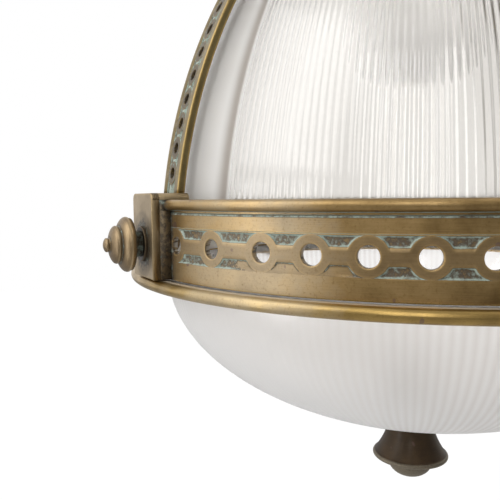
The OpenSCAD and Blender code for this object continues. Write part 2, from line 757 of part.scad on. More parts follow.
module band_hinge_leaf() color(aged) at_gallery() difference() {
    on_side(90) difference() {
        union() {
            translate([band_r - past, -leaf_w / 2, leaf_low]) cube([leaf_t + past, leaf_w, leaf_h]);
            for (y0 = [knuckle_mid / 2 + knuckle_gap, -knuckle_mid / 2 - knuckle_gap - knuckle_side]) {
                knuckle(y0, knuckle_side);
                translate([band_r, y0, hinge_z + knuckle_r - lap])
                    cube([hinge_y - band_r + 2, knuckle_side, leaf_t + 1 + lap]);
                translate([hinge_y, y0, hinge_z]) cube([knuckle_r, knuckle_side, knuckle_r + leaf_t + 1]);
            }
        }
        pin_bore();
    }
    translate([0, 0, -2 * band_drop]) cylinder(r = band_r + thread_fit, h = 6 * band_drop, $fn = fine);
    at_leaf_screws() rod(band_r - past, leaf_screw_r + slip, leaf_t + 2 * past);
}

module band_leaf_screws() color(bright) at_gallery() at_leaf_screws() {
    rod(band_in - 2, leaf_screw_r, band_wall + leaf_t + 2);
    rod(band_r + leaf_t, leaf_screw_r * head_ratio, leaf_head_t);
}

module hinge_pin() color(bright) at_gallery() translate([0, hinge_y, hinge_z]) rotate([0, 90, 0]) {
    cylinder(r = pin_d / 2, h = pin_l + 1, center = true);
    for (s = [0, 180]) rotate([s, 0, 0]) translate([0, 0, pin_l / 2 + face_gap])
        cylinder(r = pin_head_r, h = pin_head_t);
}

// Bowl ring, its clips and catch, and the bowl

module bowl_ring() color(bright) at_gallery() difference() {
    rotate_extrude($fn = fine) {
        translate([ring_bead_x, ring_bead_z]) circle(r = ring_bead_r);
        translate([shelf_in, shelf_z]) square([ring_bead_x - shelf_in, shelf_t]);
        translate([rebate_r, shelf_z]) square([ring_bead_x - rebate_r, ring_top - shelf_z]);
    }
    for (a = clip_angles) on_side(a) {
        translate([clip_screw_x, 0, ring_top - clip_screw_l - face_gap])
            cylinder(r = clip_screw_r, h = clip_screw_l + past, $fn = 24);
        translate([rebate_r - past, -clip_w / 2 - loose, ring_top - slip])
            cube([clip_x + clip_l + loose - rebate_r + past, clip_w + 2 * loose, ring_bead_r]);
    }
    at_ring_screws() translate([0, 0, -past])
        cylinder(r = ring_screw_r, h = ring_screw_depth + face_gap + past, $fn = 24);
}

module bowl_gasket() color(felt) at_gallery() hoop(shelf_in + 1, lip_r, shelf_z + shelf_t, lip_z);

// Quarter ellipse under the bowl's lip, from angle a to b
function bowl_arc(r, d, a, b, n = 24) =
    [for (i = [0:n]) let (t = a + (b - a) * i / n) [r * cos(t), lip_z - d * sin(t)]];

module bowl_glass() color(milk) at_gallery() difference() {
    rotate_extrude($fn = fine) polygon(concat(
        [[bowl_r - bowl_wall, lip_z + lip_t], [lip_r, lip_z + lip_t], [lip_r, lip_z]],
        bowl_arc(bowl_r, bowl_depth, 0, 90),
        bowl_arc(bowl_r - bowl_wall, bowl_depth - bowl_wall, 90, 0)
    ));
    translate([0, 0, bowl_bottom - past]) cylinder(r = bowl_bore_r, h = bowl_wall + 2 * past);
}

module clip_plate() translate([0, 0, ring_top + thread_fit]) difference() {
    translate([clip_x, -clip_w / 2, 0]) cube([clip_l, clip_w, clip_t]);
    translate([clip_screw_x, 0, -past])
        cylinder(r = clip_screw_r + thread_fit, h = clip_t + 2 * past, $fn = 24);
}

module bowl_clips() color(aged) at_gallery()
    for (i = [0, 1]) on_side(clip_angles[i]) clip_plate();

module catch_spring() color(aged) at_gallery() on_side(clip_angles[2]) {
    clip_plate();
    translate([clip_x, -clip_w / 2, ring_top + thread_fit]) cube([clip_t, clip_w, tongue_h]);
    translate([clip_x + clip_t, -clip_w / 2, ring_top + tongue_h * 0.6]) rotate([-90, 0, 0])
        cylinder(r = tongue_bump_r, h = clip_w);
}

module clip_screws() color(steel) at_gallery() for (a = clip_angles) on_side(a)
    translate([clip_screw_x, 0, ring_top - clip_screw_l])
        cylinder(r = clip_screw_r - slip, h = clip_screw_l + clip_t + thread_fit, $fn = 24);

module at_ring_screws() on_side(90)
    for (y = [-leaf_screw_y, leaf_screw_y]) translate([ring_screw_x, y, shelf_z]) children();

module ring_hinge_leaf() color(aged) at_gallery() difference() {
    on_side(90) difference() {
        union() {
            knuckle(-knuckle_mid / 2, knuckle_mid);
            translate([ring_bead_x, -knuckle_mid / 2, shelf_z - leaf_t])
                cube([hinge_y - ring_bead_x, knuckle_mid, leaf_t + 2]);
            translate([ring_leaf_x, -leaf_w / 2, shelf_z - leaf_t]) cube([6, leaf_w, leaf_t]);
        }
        pin_bore();
    }
    rotate_extrude($fn = fine) translate([ring_bead_x, ring_bead_z]) circle(r = ring_bead_r + thread_fit);
    at_ring_screws() translate([0, 0, -leaf_t - past])
        cylinder(r = ring_screw_r + thread_fit, h = leaf_t + 2 * past, $fn = 24);
}

module ring_leaf_screws() color(bright) at_gallery() at_ring_screws() {
    translate([0, 0, -leaf_t - ring_head_t]) cylinder(r = ring_screw_r * head_ratio, h = ring_head_t);
    translate([0, 0, -leaf_t])
        cylinder(r = ring_screw_r - slip, h = leaf_t + ring_screw_depth, $fn = 24);
}

// Finial

module finial_stud() color(bright) at_gallery()
    translate([0, 0, finial_z - finial_neck_h * 0.75]) cylinder(r = finial_stud_d / 2, h = finial_stud_l);

module finial_plate() color(aged) at_gallery() translate([0, 0, plate_z]) difference() {
    cylinder(r = plate_r, h = plate_t);
    translate([0, 0, -past]) cylinder(r = finial_stud_d / 2 + thread_fit, h = plate_t + 2 * past);
}

module finial_stud_nut() color(bright) at_gallery() translate([0, 0, plate_z + plate_t]) difference() {
    cylinder(r = finial_stud_d * 0.92, h = finial_nut_t, $fn = 6);
    translate([0, 0, -past]) cylinder(r = finial_stud_d / 2 + thread_fit, h = finial_nut_t + 2 * past);
}

module finial_gasket() color(felt) at_gallery()
    hoop(finial_stud_d / 2 + thread_fit, finial_washer_r - 3, finial_felt_z - felt_t, finial_felt_z);

module finial_washer() color(dark) at_gallery()
    hoop(finial_stud_d / 2 + 0.4, finial_washer_r, finial_washer_z - finial_washer_t, finial_washer_z);

// From the seat down: a neck, a flare that widens to the rim's roll, and an ogee to the tip
module finial() color(dark) at_gallery() difference() {
    rotate_extrude() polygon(concat(
        [[0, finial_z], [finial_neck_r, finial_z]],
        [for (i = [0:8]) let (u = i / 8)
            [finial_neck_r + (finial_r - finial_edge - finial_neck_r) * pow(u, 1.6),
             finial_z - finial_foot_h - (finial_neck_h - finial_foot_h - 1) * u]],
        arc([finial_r - finial_edge, finial_rim_z - 0.6], finial_edge, 60, -50, 5),
        [for (i = [1:10]) let (u = i / 10)
            [(finial_r - 2.4) * (1 + cos(180 * pow(u, 0.9))) / 2,
             finial_rim_z - 1.8 - (finial_tip_h - 1.8) * pow(u, 0.85)]]
    ));
    translate([0, 0, finial_z - finial_neck_h * 0.8])
        cylinder(r = finial_stud_d / 2 + slip, h = finial_neck_h);
}

gallery_band();
dome_ledge();
dome_gasket();
dome_glass();
crown_gasket();
crown_cap();
crown_boss();
crown_locknut();
hanger_tube();
hanging_eye();
eye_grub_screw();
left_strap();
right_strap();
strap_screws();
strap_nuts();
left_ear();
right_ear();
left_stud();
right_stud();
stud_nuts();
left_knob_washer();
left_knob();
right_knob_washer();
right_knob();
holder_cap();
holder_shell();
holder_insert();
holder_thread();
holder_contact();
holder_ring();
terminal_screws();
bulb_globe();
bulb_cap();
bulb_tip();
bulb_filament();
band_hinge_leaf();
band_leaf_screws();
hinge_pin();
bowl_ring();
bowl_gasket();
bowl_glass();
bowl_clips();
catch_spring();
clip_screws();
ring_hinge_leaf();
ring_leaf_screws();
finial_stud();
finial_stud_nut();
finial_plate();
finial_gasket();
finial_washer();
finial();
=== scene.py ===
"""Pendant light: a pierced brass gallery with a tall prismatic dome, two pierced straps up to a crown and an eye,
and a shallow prismatic bowl in a ring that is hinged under the gallery."""

import json
from math import radians

import bmesh
import bpy
import numpy as np
from mathutils import Matrix, Vector


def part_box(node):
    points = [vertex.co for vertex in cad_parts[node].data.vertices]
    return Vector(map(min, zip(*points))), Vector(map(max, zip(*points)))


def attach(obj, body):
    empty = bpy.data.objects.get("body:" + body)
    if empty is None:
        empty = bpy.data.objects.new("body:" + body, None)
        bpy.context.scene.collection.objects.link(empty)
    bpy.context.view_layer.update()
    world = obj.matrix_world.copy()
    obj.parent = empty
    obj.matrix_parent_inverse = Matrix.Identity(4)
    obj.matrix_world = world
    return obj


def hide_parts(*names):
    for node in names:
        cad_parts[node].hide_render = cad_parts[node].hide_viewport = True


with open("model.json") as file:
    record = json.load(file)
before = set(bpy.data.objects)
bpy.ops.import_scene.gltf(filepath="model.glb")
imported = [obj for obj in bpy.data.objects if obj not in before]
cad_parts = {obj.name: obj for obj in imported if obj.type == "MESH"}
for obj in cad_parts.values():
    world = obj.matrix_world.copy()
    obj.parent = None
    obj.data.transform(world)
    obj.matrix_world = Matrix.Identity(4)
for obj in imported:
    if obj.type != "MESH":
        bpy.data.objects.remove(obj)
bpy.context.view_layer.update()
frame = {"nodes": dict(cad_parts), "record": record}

# The lamp hangs from its eye, which is the frame's origin. All sizes below are in millimetres, and heights are
# measured from the row of holes round the gallery, whose top bead is 22.4 mm above them.
MM = 0.001
band_top = 22.4
holes_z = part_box("gallery_band")[1].z / MM - band_top

# Photographer's camera: beside the lamp, just above the row of holes, looking a little down.
camera_at = (-268.65, -302.87, 22.83)
camera_heading = 26.5
camera_tilt = 4.875
camera_roll = 0.4554

shot = bpy.data.cameras.new("photo_camera")
shot.sensor_width = 36
shot.lens = 43.76
camera = bpy.data.objects.new("photo_camera", shot)
bpy.context.scene.collection.objects.link(camera)
camera.matrix_world = (
    Matrix.Translation((camera_at[0] * MM, camera_at[1] * MM, (camera_at[2] + holes_z) * MM))
    @ Matrix.Rotation(radians(-camera_heading), 4, "Z")
    @ Matrix.Rotation(radians(90 - camera_tilt), 4, "X")
    @ Matrix.Rotation(radians(-camera_roll), 4, "Z")
)
bpy.context.scene.camera = camera
bpy.context.scene.view_settings.view_transform = "Standard"


def linear(colour):
    """A colour written as sRGB hex, turned to linear light: each channel's power curve, with alpha 1."""
    c = np.array([int(colour[i : i + 2], 16) for i in (1, 3, 5)]) / 255
    return (*np.where(c <= 0.04045, c / 12.92, ((c + 0.055) / 1.055) ** 2.4), 1.0)


def add(tree, kind, links=(), output=0, **settings):
    """Adds a shader node of this kind with its settings, and returns one of its outputs. Inputs and output go by name
    or number, and each input is a value or another node's output. A Map Range's inputs 0 to 4 are the value, the range
    it comes from and the range it goes to. A colour Mix's 0, 6 and 7 are the share and the two colours."""
    made = tree.nodes.new("ShaderNode" + kind)
    for name, value in settings.items():
        setattr(made, name, value)
    for name, value in dict(links).items():
        if isinstance(value, bpy.types.NodeSocket):
            tree.links.new(value, made.inputs[name])
        else:
            made.inputs[name].default_value = value
    return made.outputs[output] if made.outputs else None


def new_material(name):
    """An empty node material and its tree."""
    material = bpy.data.materials.new(name)
    material.use_nodes = True
    material.node_tree.nodes.clear()
    return material, material.node_tree


# The studio: a white room behind the lamp, which fades to a dimmer one on the camera's side. The camera sees plain
# white. Metal sees the fading room, so that it has something to reflect, and glass lets the white one through.
room_white, room_dim, room_through_glass = 1.0, 0.23, 1.0
room_turn, room_lift = 25, 0.35
fade_from, fade_to = -0.5, 0.42

world = bpy.data.worlds.new("studio")
bpy.context.scene.world = world
world.use_nodes = True
sky = world.node_tree
sky.nodes.clear()
ray = add(sky, "LightPath").node.outputs
direction = add(sky, "TexCoord", output="Generated")
back = radians(camera_heading - room_turn)
away = (np.sin(back), np.cos(back), room_lift)
towards_back = add(sky, "VectorMath", {0: direction, 1: away}, operation="DOT_PRODUCT", output="Value")
through = ray["Is Transmission Ray"]
dim = add(sky, "Mix", {"Factor": through, "A": room_dim, "B": room_through_glass})
fade = {"Value": towards_back, "From Min": fade_from, "From Max": fade_to, "To Min": dim, "To Max": room_white}
level = add(sky, "MapRange", fade, interpolation_type="SMOOTHSTEP")
seen = add(sky, "Mix", {"Factor": ray["Is Camera Ray"], "A": level, "B": 1.0})
background = add(sky, "Background", {"Color": (1, 1, 1, 1), "Strength": seen})
add(sky, "OutputWorld", {"Surface": background})

# White paper floor, 2 m under the eye, as for a lamp that hangs in a room. It is matt and holds the shadow, with a
# glow over it that only the camera and the glass see. In metal it looks greyer.
floor_z = -2000
floor_half = 12000
paper_white, paper_in_metal = 0.86, 0.6
glow, glow_share = 1.06, 0.9
floor_mesh = bpy.data.meshes.new("floor")
corners = np.array([(-1, -1, 0), (1, -1, 0), (1, 1, 0), (-1, 1, 0)]) * floor_half * MM + (0, 0, floor_z * MM)
floor_mesh.from_pydata(corners.tolist(), [], [(0, 1, 2, 3)])
floor = bpy.data.objects.new("floor", floor_mesh)
bpy.context.scene.collection.objects.link(floor)
paper, tree = new_material("white_studio_floor")
ray = add(tree, "LightPath").node.outputs
shade = add(tree, "Mix", {"Factor": ray["Is Glossy Ray"], "A": paper_white, "B": paper_in_metal})
matt = add(tree, "BsdfDiffuse", {"Color": shade})
lit = add(tree, "Emission", {"Strength": glow})
straight = {0: ray["Is Camera Ray"], 1: ray["Is Transmission Ray"]}
direct = add(tree, "Math", straight, operation="MAXIMUM")
share = add(tree, "Math", {0: direct, 1: glow_share}, operation="MULTIPLY")
both = add(tree, "MixShader", {0: share, 1: matt, 2: lit})
add(tree, "OutputMaterial", {"Surface": both})
floor_mesh.materials.append(paper)

# Lamps: a wide softbox high on the left, a tall strip that draws the streak along the beads, a large softbox high on
# the right, and a narrow window on the left. Each has its place, its aim, its size and its power in watts.
for name, place, aim, size, watts in (
    ("key_softbox", (-1500, 100, 1100), (0, 0, -100), (1300, 1300), 14),
    ("bead_strip", (-900, -1000, 700), (-150, -60, 0), (260, 1100), 5),
    ("right_softbox", (1200, -800, 1500), (0, 0, -100), (1100, 1100), 20),
    ("window", (-1600, 110, -200), (0, 0, 0), (380, 1300), 5.5),
):
    lamp = bpy.data.lights.new(name, "AREA")
    lamp.shape = "RECTANGLE"
    lamp.size, lamp.size_y = size[0] * MM, size[1] * MM
    lamp.energy = watts
    stand = bpy.data.objects.new(name, lamp)
    bpy.context.scene.collection.objects.link(stand)
    at = (Vector(place) + Vector((0, 0, holes_z))) * MM
    look = Vector(aim) - Vector(place)
    stand.matrix_world = Matrix.Translation(at) @ look.to_track_quat("-Z", "Y").to_matrix().to_4x4()


# Gallery band: a brass casting, turned on its beads, with a frieze of ringed holes joined by bars, and sunk pockets
# above and below each bar. The pockets kept their cast skin and went green; the high edges are rubbed bright.
band_r, band_wall, band_drop = 170, 3, 17.6
hole_r, ring_r, bar_half = 4.5, 8.3, 3.4
pocket_depth = 0.9
bead_r, bead_out, bead_z = 2.6, 1.2, 19.8
groove_low, groove_high, groove_depth = 15.8, 17.2, 0.8


def eased(corners, steps=5, flank=0.6):
    """A closed outline with rounded corners. Each corner is (x, y, radius): the arc between its two tangent points
    takes its place, with a further point `flank` beyond each tangent point, so that a rubbed edge stays narrow. The
    tangent points lie radius / tan(half the corner's angle) from the corner, and at most 0.45 of its shorter side.
    Returns rows of x, y, rubbed (1 on outward arcs) and grimy (1 on inward arcs)."""
    corners = np.array(corners, float)
    xy, radius = corners[:, :2], corners[:, 2]
    back, ahead = np.roll(xy, 1, 0) - xy, np.roll(xy, -1, 0) - xy
    back_l, ahead_l = np.linalg.norm(back, axis=1), np.linalg.norm(ahead, axis=1)
    a, b = back / back_l[:, None], ahead / ahead_l[:, None]
    half = 0.5 * np.arccos(np.clip((a * b).sum(1), -0.99999, 0.99999))
    room = 0.45 * np.minimum(back_l, ahead_l)
    cut = np.minimum(radius / np.tan(half), room)
    turn = np.pi - 2 * half
    middle = (a + b) / np.maximum(np.linalg.norm(a + b, axis=1), 1e-9)[:, None]
    centre = xy + middle * (cut / np.cos(half))[:, None]
    start, end = xy + a * cut[:, None] - centre, xy + b * cut[:, None] - centre
    t = np.linspace(0, 1, steps)[None, :, None]
    w = np.maximum(turn, 1e-4)[:, None, None]
    arcs = centre[:, None] + (np.sin((1 - t) * w) * start[:, None] + np.sin(t * w) * end[:, None]) / np.sin(w)
    reach = np.minimum(cut + flank, np.maximum(room, cut))[:, None, None]
    points = np.concatenate([xy[:, None] + a[:, None] * reach, arcs, xy[:, None] + b[:, None] * reach], 1)
    points[radius == 0] = xy[radius == 0][:, None]
    bend = np.sign(a[:, 1] * b[:, 0] - a[:, 0] * b[:, 1])
    area = np.sum(xy[:, 0] * np.roll(xy[:, 1], -1) - np.roll(xy[:, 0], -1) * xy[:, 1])
    outward = bend * np.sign(area)
    mark = np.zeros(points.shape[:2])
    mark[:, 1:-1] = (outward * (radius > 0))[:, None]
    marks = np.stack([np.maximum(mark, 0), np.maximum(-mark, 0)], -1)
    rows = np.concatenate([points, marks], 2).reshape(-1, 4)
    gap = np.linalg.norm(rows[:, :2] - np.roll(rows[:, :2], 1, 0), axis=1)
    return rows[gap > 1e-5]


def arc_points(centre, r, start, end, n):
    """Points on an arc about a centre, from one angle to another in degrees, as unrounded corners."""
    t = np.radians(np.linspace(start, end, n))
    return np.stack([centre[0] + r * np.cos(t), centre[1] + r * np.sin(t), 0 * t], 1).tolist()


def shell(name, grids, close_ends=False):
    """A closed mesh from grids of points, whose shared edges are merged where they lie within 0.002 mm. Each grid is
    (points, rubbed, grimy, along, across): arrays on two parameters, with the last two as a map of the surface in
    millimetres. `close_ends` fills the openings that are left."""
    points, marks, maps, quads, base = [], [], [], [], 0
    for p, rubbed, grimy, along, across in grids:
        shape = p.shape[:2]
        index = base + np.arange(shape[0] * shape[1]).reshape(shape)
        quads.append(np.stack([index[:-1, :-1], index[1:, :-1], index[1:, 1:], index[:-1, 1:]], -1).reshape(-1, 4))
        points.append(p.reshape(-1, 3))
        marks.append(np.stack([np.broadcast_to(rubbed, shape), np.broadcast_to(grimy, shape)], -1).reshape(-1, 2))
        maps.append(np.stack([np.broadcast_to(along, shape), np.broadcast_to(across, shape)], -1).reshape(-1, 2))
        base += shape[0] * shape[1]
    points, marks, maps, quads = (np.concatenate(x) for x in (points, marks, maps, quads))
    mesh = bpy.data.meshes.new(name)
    mesh.vertices.add(len(points))
    mesh.vertices.foreach_set("co", ((points + (0, 0, holes_z)) * MM).ravel())
    mesh.loops.add(quads.size)
    mesh.loops.foreach_set("vertex_index", quads.ravel())
    mesh.polygons.add(len(quads))
    mesh.polygons.foreach_set("loop_start", np.arange(0, quads.size, 4))
    mesh.update(calc_edges=True)
    for label, column in (("rubbed", 0), ("grimy", 1)):
        mesh.attributes.new(label, "FLOAT", "POINT").data.foreach_set("value", marks[:, column].copy())
    mesh.uv_layers.new(name="turning").data.foreach_set("uv", maps[quads.ravel()].ravel())
    work = bmesh.new()
    work.from_mesh(mesh)
    bmesh.ops.remove_doubles(work, verts=work.verts, dist=2e-6)
    bmesh.ops.dissolve_degenerate(work, edges=work.edges, dist=1e-7)
    if close_ends:
        bmesh.ops.holes_fill(work, edges=work.edges, sides=0)
    bmesh.ops.recalc_face_normals(work, faces=work.faces)
    work.to_mesh(mesh)
    work.free()
    mesh.polygons.foreach_set("use_smooth", np.ones(len(mesh.polygons), bool))
    piece = bpy.data.objects.new(name, mesh)
    bpy.context.scene.collection.objects.link(piece)
    return piece


def fit(piece, material, body, slot, *nodes):
    """Gives a piece its material, lets it ride on its body, and puts it in place of its CAD nodes."""
    piece.data.materials.clear()
    piece.data.materials.append(material)
    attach(piece, body)
    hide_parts(*nodes)
    return piece


def bell(distance, middle, width):
    """A bell curve that is 1 at its middle: exp(-((distance - middle) / width) squared)."""
    return np.exp(-(((distance - middle) / width) ** 2))


def pierced(
    name, centres, sides, reach, sunk, ring, hole, bar, wall, rails, place, worn, clogged=False, close_ends=False
):
    """A pierced bar, in half cells that run from a ring's centre to one side. 25 rays leave the hole's edge, cross the
    ring and fan out to the middle of the gap. Those beside the bar sink into a pocket, by the smooth step
    s * s * (3 - 2 * s) of the distance from its nearest edge. `worn` is a function of the place along the bar: where it
    is 1, the pockets under the bars are worn away towards the rail and only their upper edges are left. `clogged` packs
    the pockets with dirt and dulls the rings. `rails` are the outlines above and below the frieze as (outwards, height)
    rows, and place(along, height, outwards) bends the flat pattern into space."""
    step = ring / ring_r

    # One half cell: the rays' angles, where each ends at the gap's middle, the radii across the ring, and the shares t
    # of the way from the ring to the gap's middle.
    spread = np.linspace(0, 1, 11)
    spread = 0.5 * spread + 0.25 * (1 - np.cos(np.pi * spread))
    level = np.linspace(-1, 1, 5)[1:-1]
    bar_angle = np.arcsin(bar / ring)
    rise = np.pi / 2 - bar_angle
    angle = np.concatenate([-np.pi / 2 + rise * spread, bar_angle * level, bar_angle + rise * spread])
    end_z = np.concatenate([-ring + (ring - bar) * spread, bar * level, bar + (ring - bar) * spread])
    by_hole, by_gap = np.array([0, 0.1, 0.35, 0.9]), np.array([1, 0.35, 0])
    radii = np.concatenate([hole + by_hole * step, ring - by_gap * step])
    on_ring = len(radii)
    t = np.array([0.05, 0.13, 0.24, 0.38, 0.55, 0.76, 1.0])
    near_x, near_z = np.cos(angle)[:, None] * radii, np.sin(angle)[:, None] * radii
    edge_x, edge_z = ring * np.cos(angle)[:, None], ring * np.sin(angle)[:, None]
    far_x = edge_x * (1 - t) + reach[:, None, None] * t
    far_z = np.broadcast_to(edge_z * (1 - t) + end_z[:, None] * t, far_x.shape)
    cells = len(centres)
    x = np.concatenate([np.broadcast_to(near_x, (cells, *near_x.shape)), far_x], 2)
    z = np.concatenate([np.broadcast_to(near_z, (cells, *near_z.shape)), far_z], 2)
    along = centres[:, None, None] + sides[:, None, None] * x

    # Pockets: a flank falls over 0.8 mm, and the hole's edge is rounded down by 0.4 mm.
    has_pocket = sunk[:, None, None] > 0
    from_ring, from_bar, from_rail = np.hypot(x, z) - ring, np.abs(z) - bar, ring - np.abs(z)
    inside = np.minimum(np.minimum(from_ring, from_bar), from_rail) * has_pocket
    in_pocket = inside > 0.02
    s = np.clip(inside / (0.8 * step), 0, 1)
    depth = pocket_depth * s * s * (3 - 2 * s)
    wear = np.where(z < 0, worn(along), 0)
    left = np.clip(from_rail / (ring - bar), 0, 1) ** 1.5
    depth *= 1 - wear * (1 - left)
    depth[:, :, :2] += np.array([0.4, 0.12]) * step

    # Dirt: a veil of 0.13 on every face, 0.46 in the pockets and up to 0.9 on their flanks. Where they are worn away,
    # a line of it is left along the upper edge.
    by_edge = np.minimum(from_ring, from_bar)
    packed = np.where(in_pocket, 0.46 + 0.44 * bell(inside, 0.4 * step, 0.38 * step), 0)
    thin = 0.8 * bell(by_edge, 0.35, 0.4) * in_pocket * left**0.5
    grimy = np.maximum(packed * (1 - wear) + thin * wear, 0.13)
    if clogged:
        grimy = np.maximum(grimy, 0.8 * (from_ring > 0.3) * has_pocket * (np.abs(z) < 0.7 * ring))
        grimy[:, :, :5] = 0.42

    # Rubbed bright: the pockets' edges a little, and the holes' edges fully.
    rubbed = np.where(in_pocket, 0, 0.45 * bell(by_edge, 0, 0.4 * step)) * has_pocket
    rubbed[:, :, :on_ring] = np.maximum(rubbed[:, :, :on_ring], bell(radii, hole, 0.5 * step))

    every = range(cells)
    back = np.full_like(depth[0], -wall)
    grids = [(place(along[i], z[i], -depth[i]), rubbed[i], grimy[i], along[i], z[i]) for i in every]
    grids += [(place(along[i], z[i], back), -1.0, 0.0, along[i], z[i]) for i in every]
    for i in every:
        hole_x, hole_z = along[i, :, :1].repeat(2, 1), z[i, :, :1].repeat(2, 1)
        down = np.stack([depth[i, :, 0], np.full(len(angle), wall)], -1)
        grids.append((place(hole_x, hole_z, -down), 0, 0.35, hole_x, hole_z))
    for rail in rails:
        around = np.concatenate([[0], np.cumsum(np.hypot(*np.diff(rail[:, :2], axis=0).T))])
        inner = np.where(rail[:, 0] < 0.02 - wall, -1.0, rail[:, 2])
        for i in every:
            columns = centres[i] + sides[i] * reach[i] * np.concatenate([[0], t])
            a, height = np.meshgrid(columns, rail[:, 1], indexing="ij")
            out = np.broadcast_to(rail[:, 0], a.shape)
            grids.append((place(a, height, out), inner, rail[:, 3], a, rail[0, 1] + np.sign(rail[0, 1]) * around))
    return shell(name, grids, close_ends)


def on_band(along, z, outwards):
    """Wraps the frieze round the band: the length along it is an arc at the band's outer face."""
    angle = along / band_r
    r = band_r + outwards
    return np.stack([r * np.cos(angle), r * np.sin(angle), np.broadcast_to(z, angle.shape)], -1)


# The rings, by their angles in degrees: one at the middle of the front and of the back, 8 more to each hand at an even
# pitch, and then 2 that stand a little further apart. The wide gap behind each ear has no pockets.
ring_pitch, rings_even, ring_spread, rings_side = 7.86, 8, 2.1, 10
widest_sunk = 6
k = np.arange(-rings_side, rings_side + 1)
of_side = k * ring_pitch + np.sign(k) * np.maximum(0, np.abs(k) - rings_even) * ring_spread
ring_angle = np.sort(np.concatenate([90 + of_side, 270 + of_side]))
to_next = (np.roll(ring_angle, -1) - ring_angle) % 360
half_after, half_before = to_next / 2, np.roll(to_next, 1) / 2
centres = np.radians(np.concatenate([ring_angle, ring_angle])) * band_r
sides = np.repeat([1, -1], len(ring_angle))
reach = np.radians(np.concatenate([half_after, half_before])) * band_r
sunk = (np.degrees(reach / band_r) < widest_sunk).astype(float)

# The outlines above and below the frieze: a fine line over the rings, the groove, the bead, and the plain inner face.
fine_line = [(0, ring_r, 0), (0, ring_r + 0.25, 0.05), (-0.3, ring_r + 0.45, 0.1), (0, ring_r + 0.7, 0.12)]
groove = [(0, groove_low - 1.1, 0), (0, groove_low - 0.7, 0), (0, groove_low, 0.3)]
groove += [(-groove_depth, groove_low, 0.2), (-groove_depth, groove_high, 0.2), (0, groove_high, 0)]
bead = arc_points((bead_out, bead_z), bead_r, -117, 90, 15)
upper = eased(fine_line + groove + bead + [(-band_wall, band_top, 0.4), (-band_wall, ring_r, 0)], steps=3)
under_groove = (upper[:, 0] > -0.1) & (np.abs(upper[:, 1] - groove_low + 0.35) < 0.4)
upper[under_groove, 3] = 0.72
foot = [(0, -ring_r, 0), (0, -ring_r - 0.3, 0), (0, -ring_r - 0.6, 0), (0, -band_drop, 0.4)]
lower = eased(foot + [(-band_wall, -band_drop, 0.3), (-band_wall, -ring_r, 0)], steps=3)


def worn_pockets(along):
    """Where the lower pockets are worn away: 5 cos(4 (angle - 212 degrees)) - 3.6, cut off at 0 and 1."""
    return np.clip(5 * np.cos(4 * (along / band_r - radians(212))) - 3.6, 0, 1)


gallery = pierced(
    "gallery", centres, sides, reach, sunk, ring_r, hole_r, bar_half, band_wall, [upper, lower], on_band, worn_pockets
)

# Dirt collects on the band beside the ears, out to 7.2 degrees, and fades over the last 2.
points = np.empty(3 * len(gallery.data.vertices))
gallery.data.vertices.foreach_get("co", points)
x, y = points.reshape(-1, 3)[:, 0], points.reshape(-1, 3)[:, 1]
grime = np.empty(len(x))
gallery.data.attributes["grimy"].data.foreach_get("value", grime)
off_ear = np.degrees(np.arcsin(np.abs(y) / np.hypot(x, y)))
beside_ear = np.clip((7.2 - off_ear) / 2, 0, 1) * (np.hypot(x, y) > (band_r - 1.5) * MM)
gallery.data.attributes["grimy"].data.foreach_set("value", np.maximum(grime, 0.62 * beside_ear))

# Colours that all the brass shares, and the side where the pale painted highlight lies.
verdigris = "#95A297"
dirt_brown = "#574C3E"
painted_highlight_pale = "#D4C6AA"
spot_brown = "#6B5654"
enamel_white = "#D2CDC4"
painted_highlight_side = (np.cos(radians(204)), np.sin(radians(204)), -0.05)


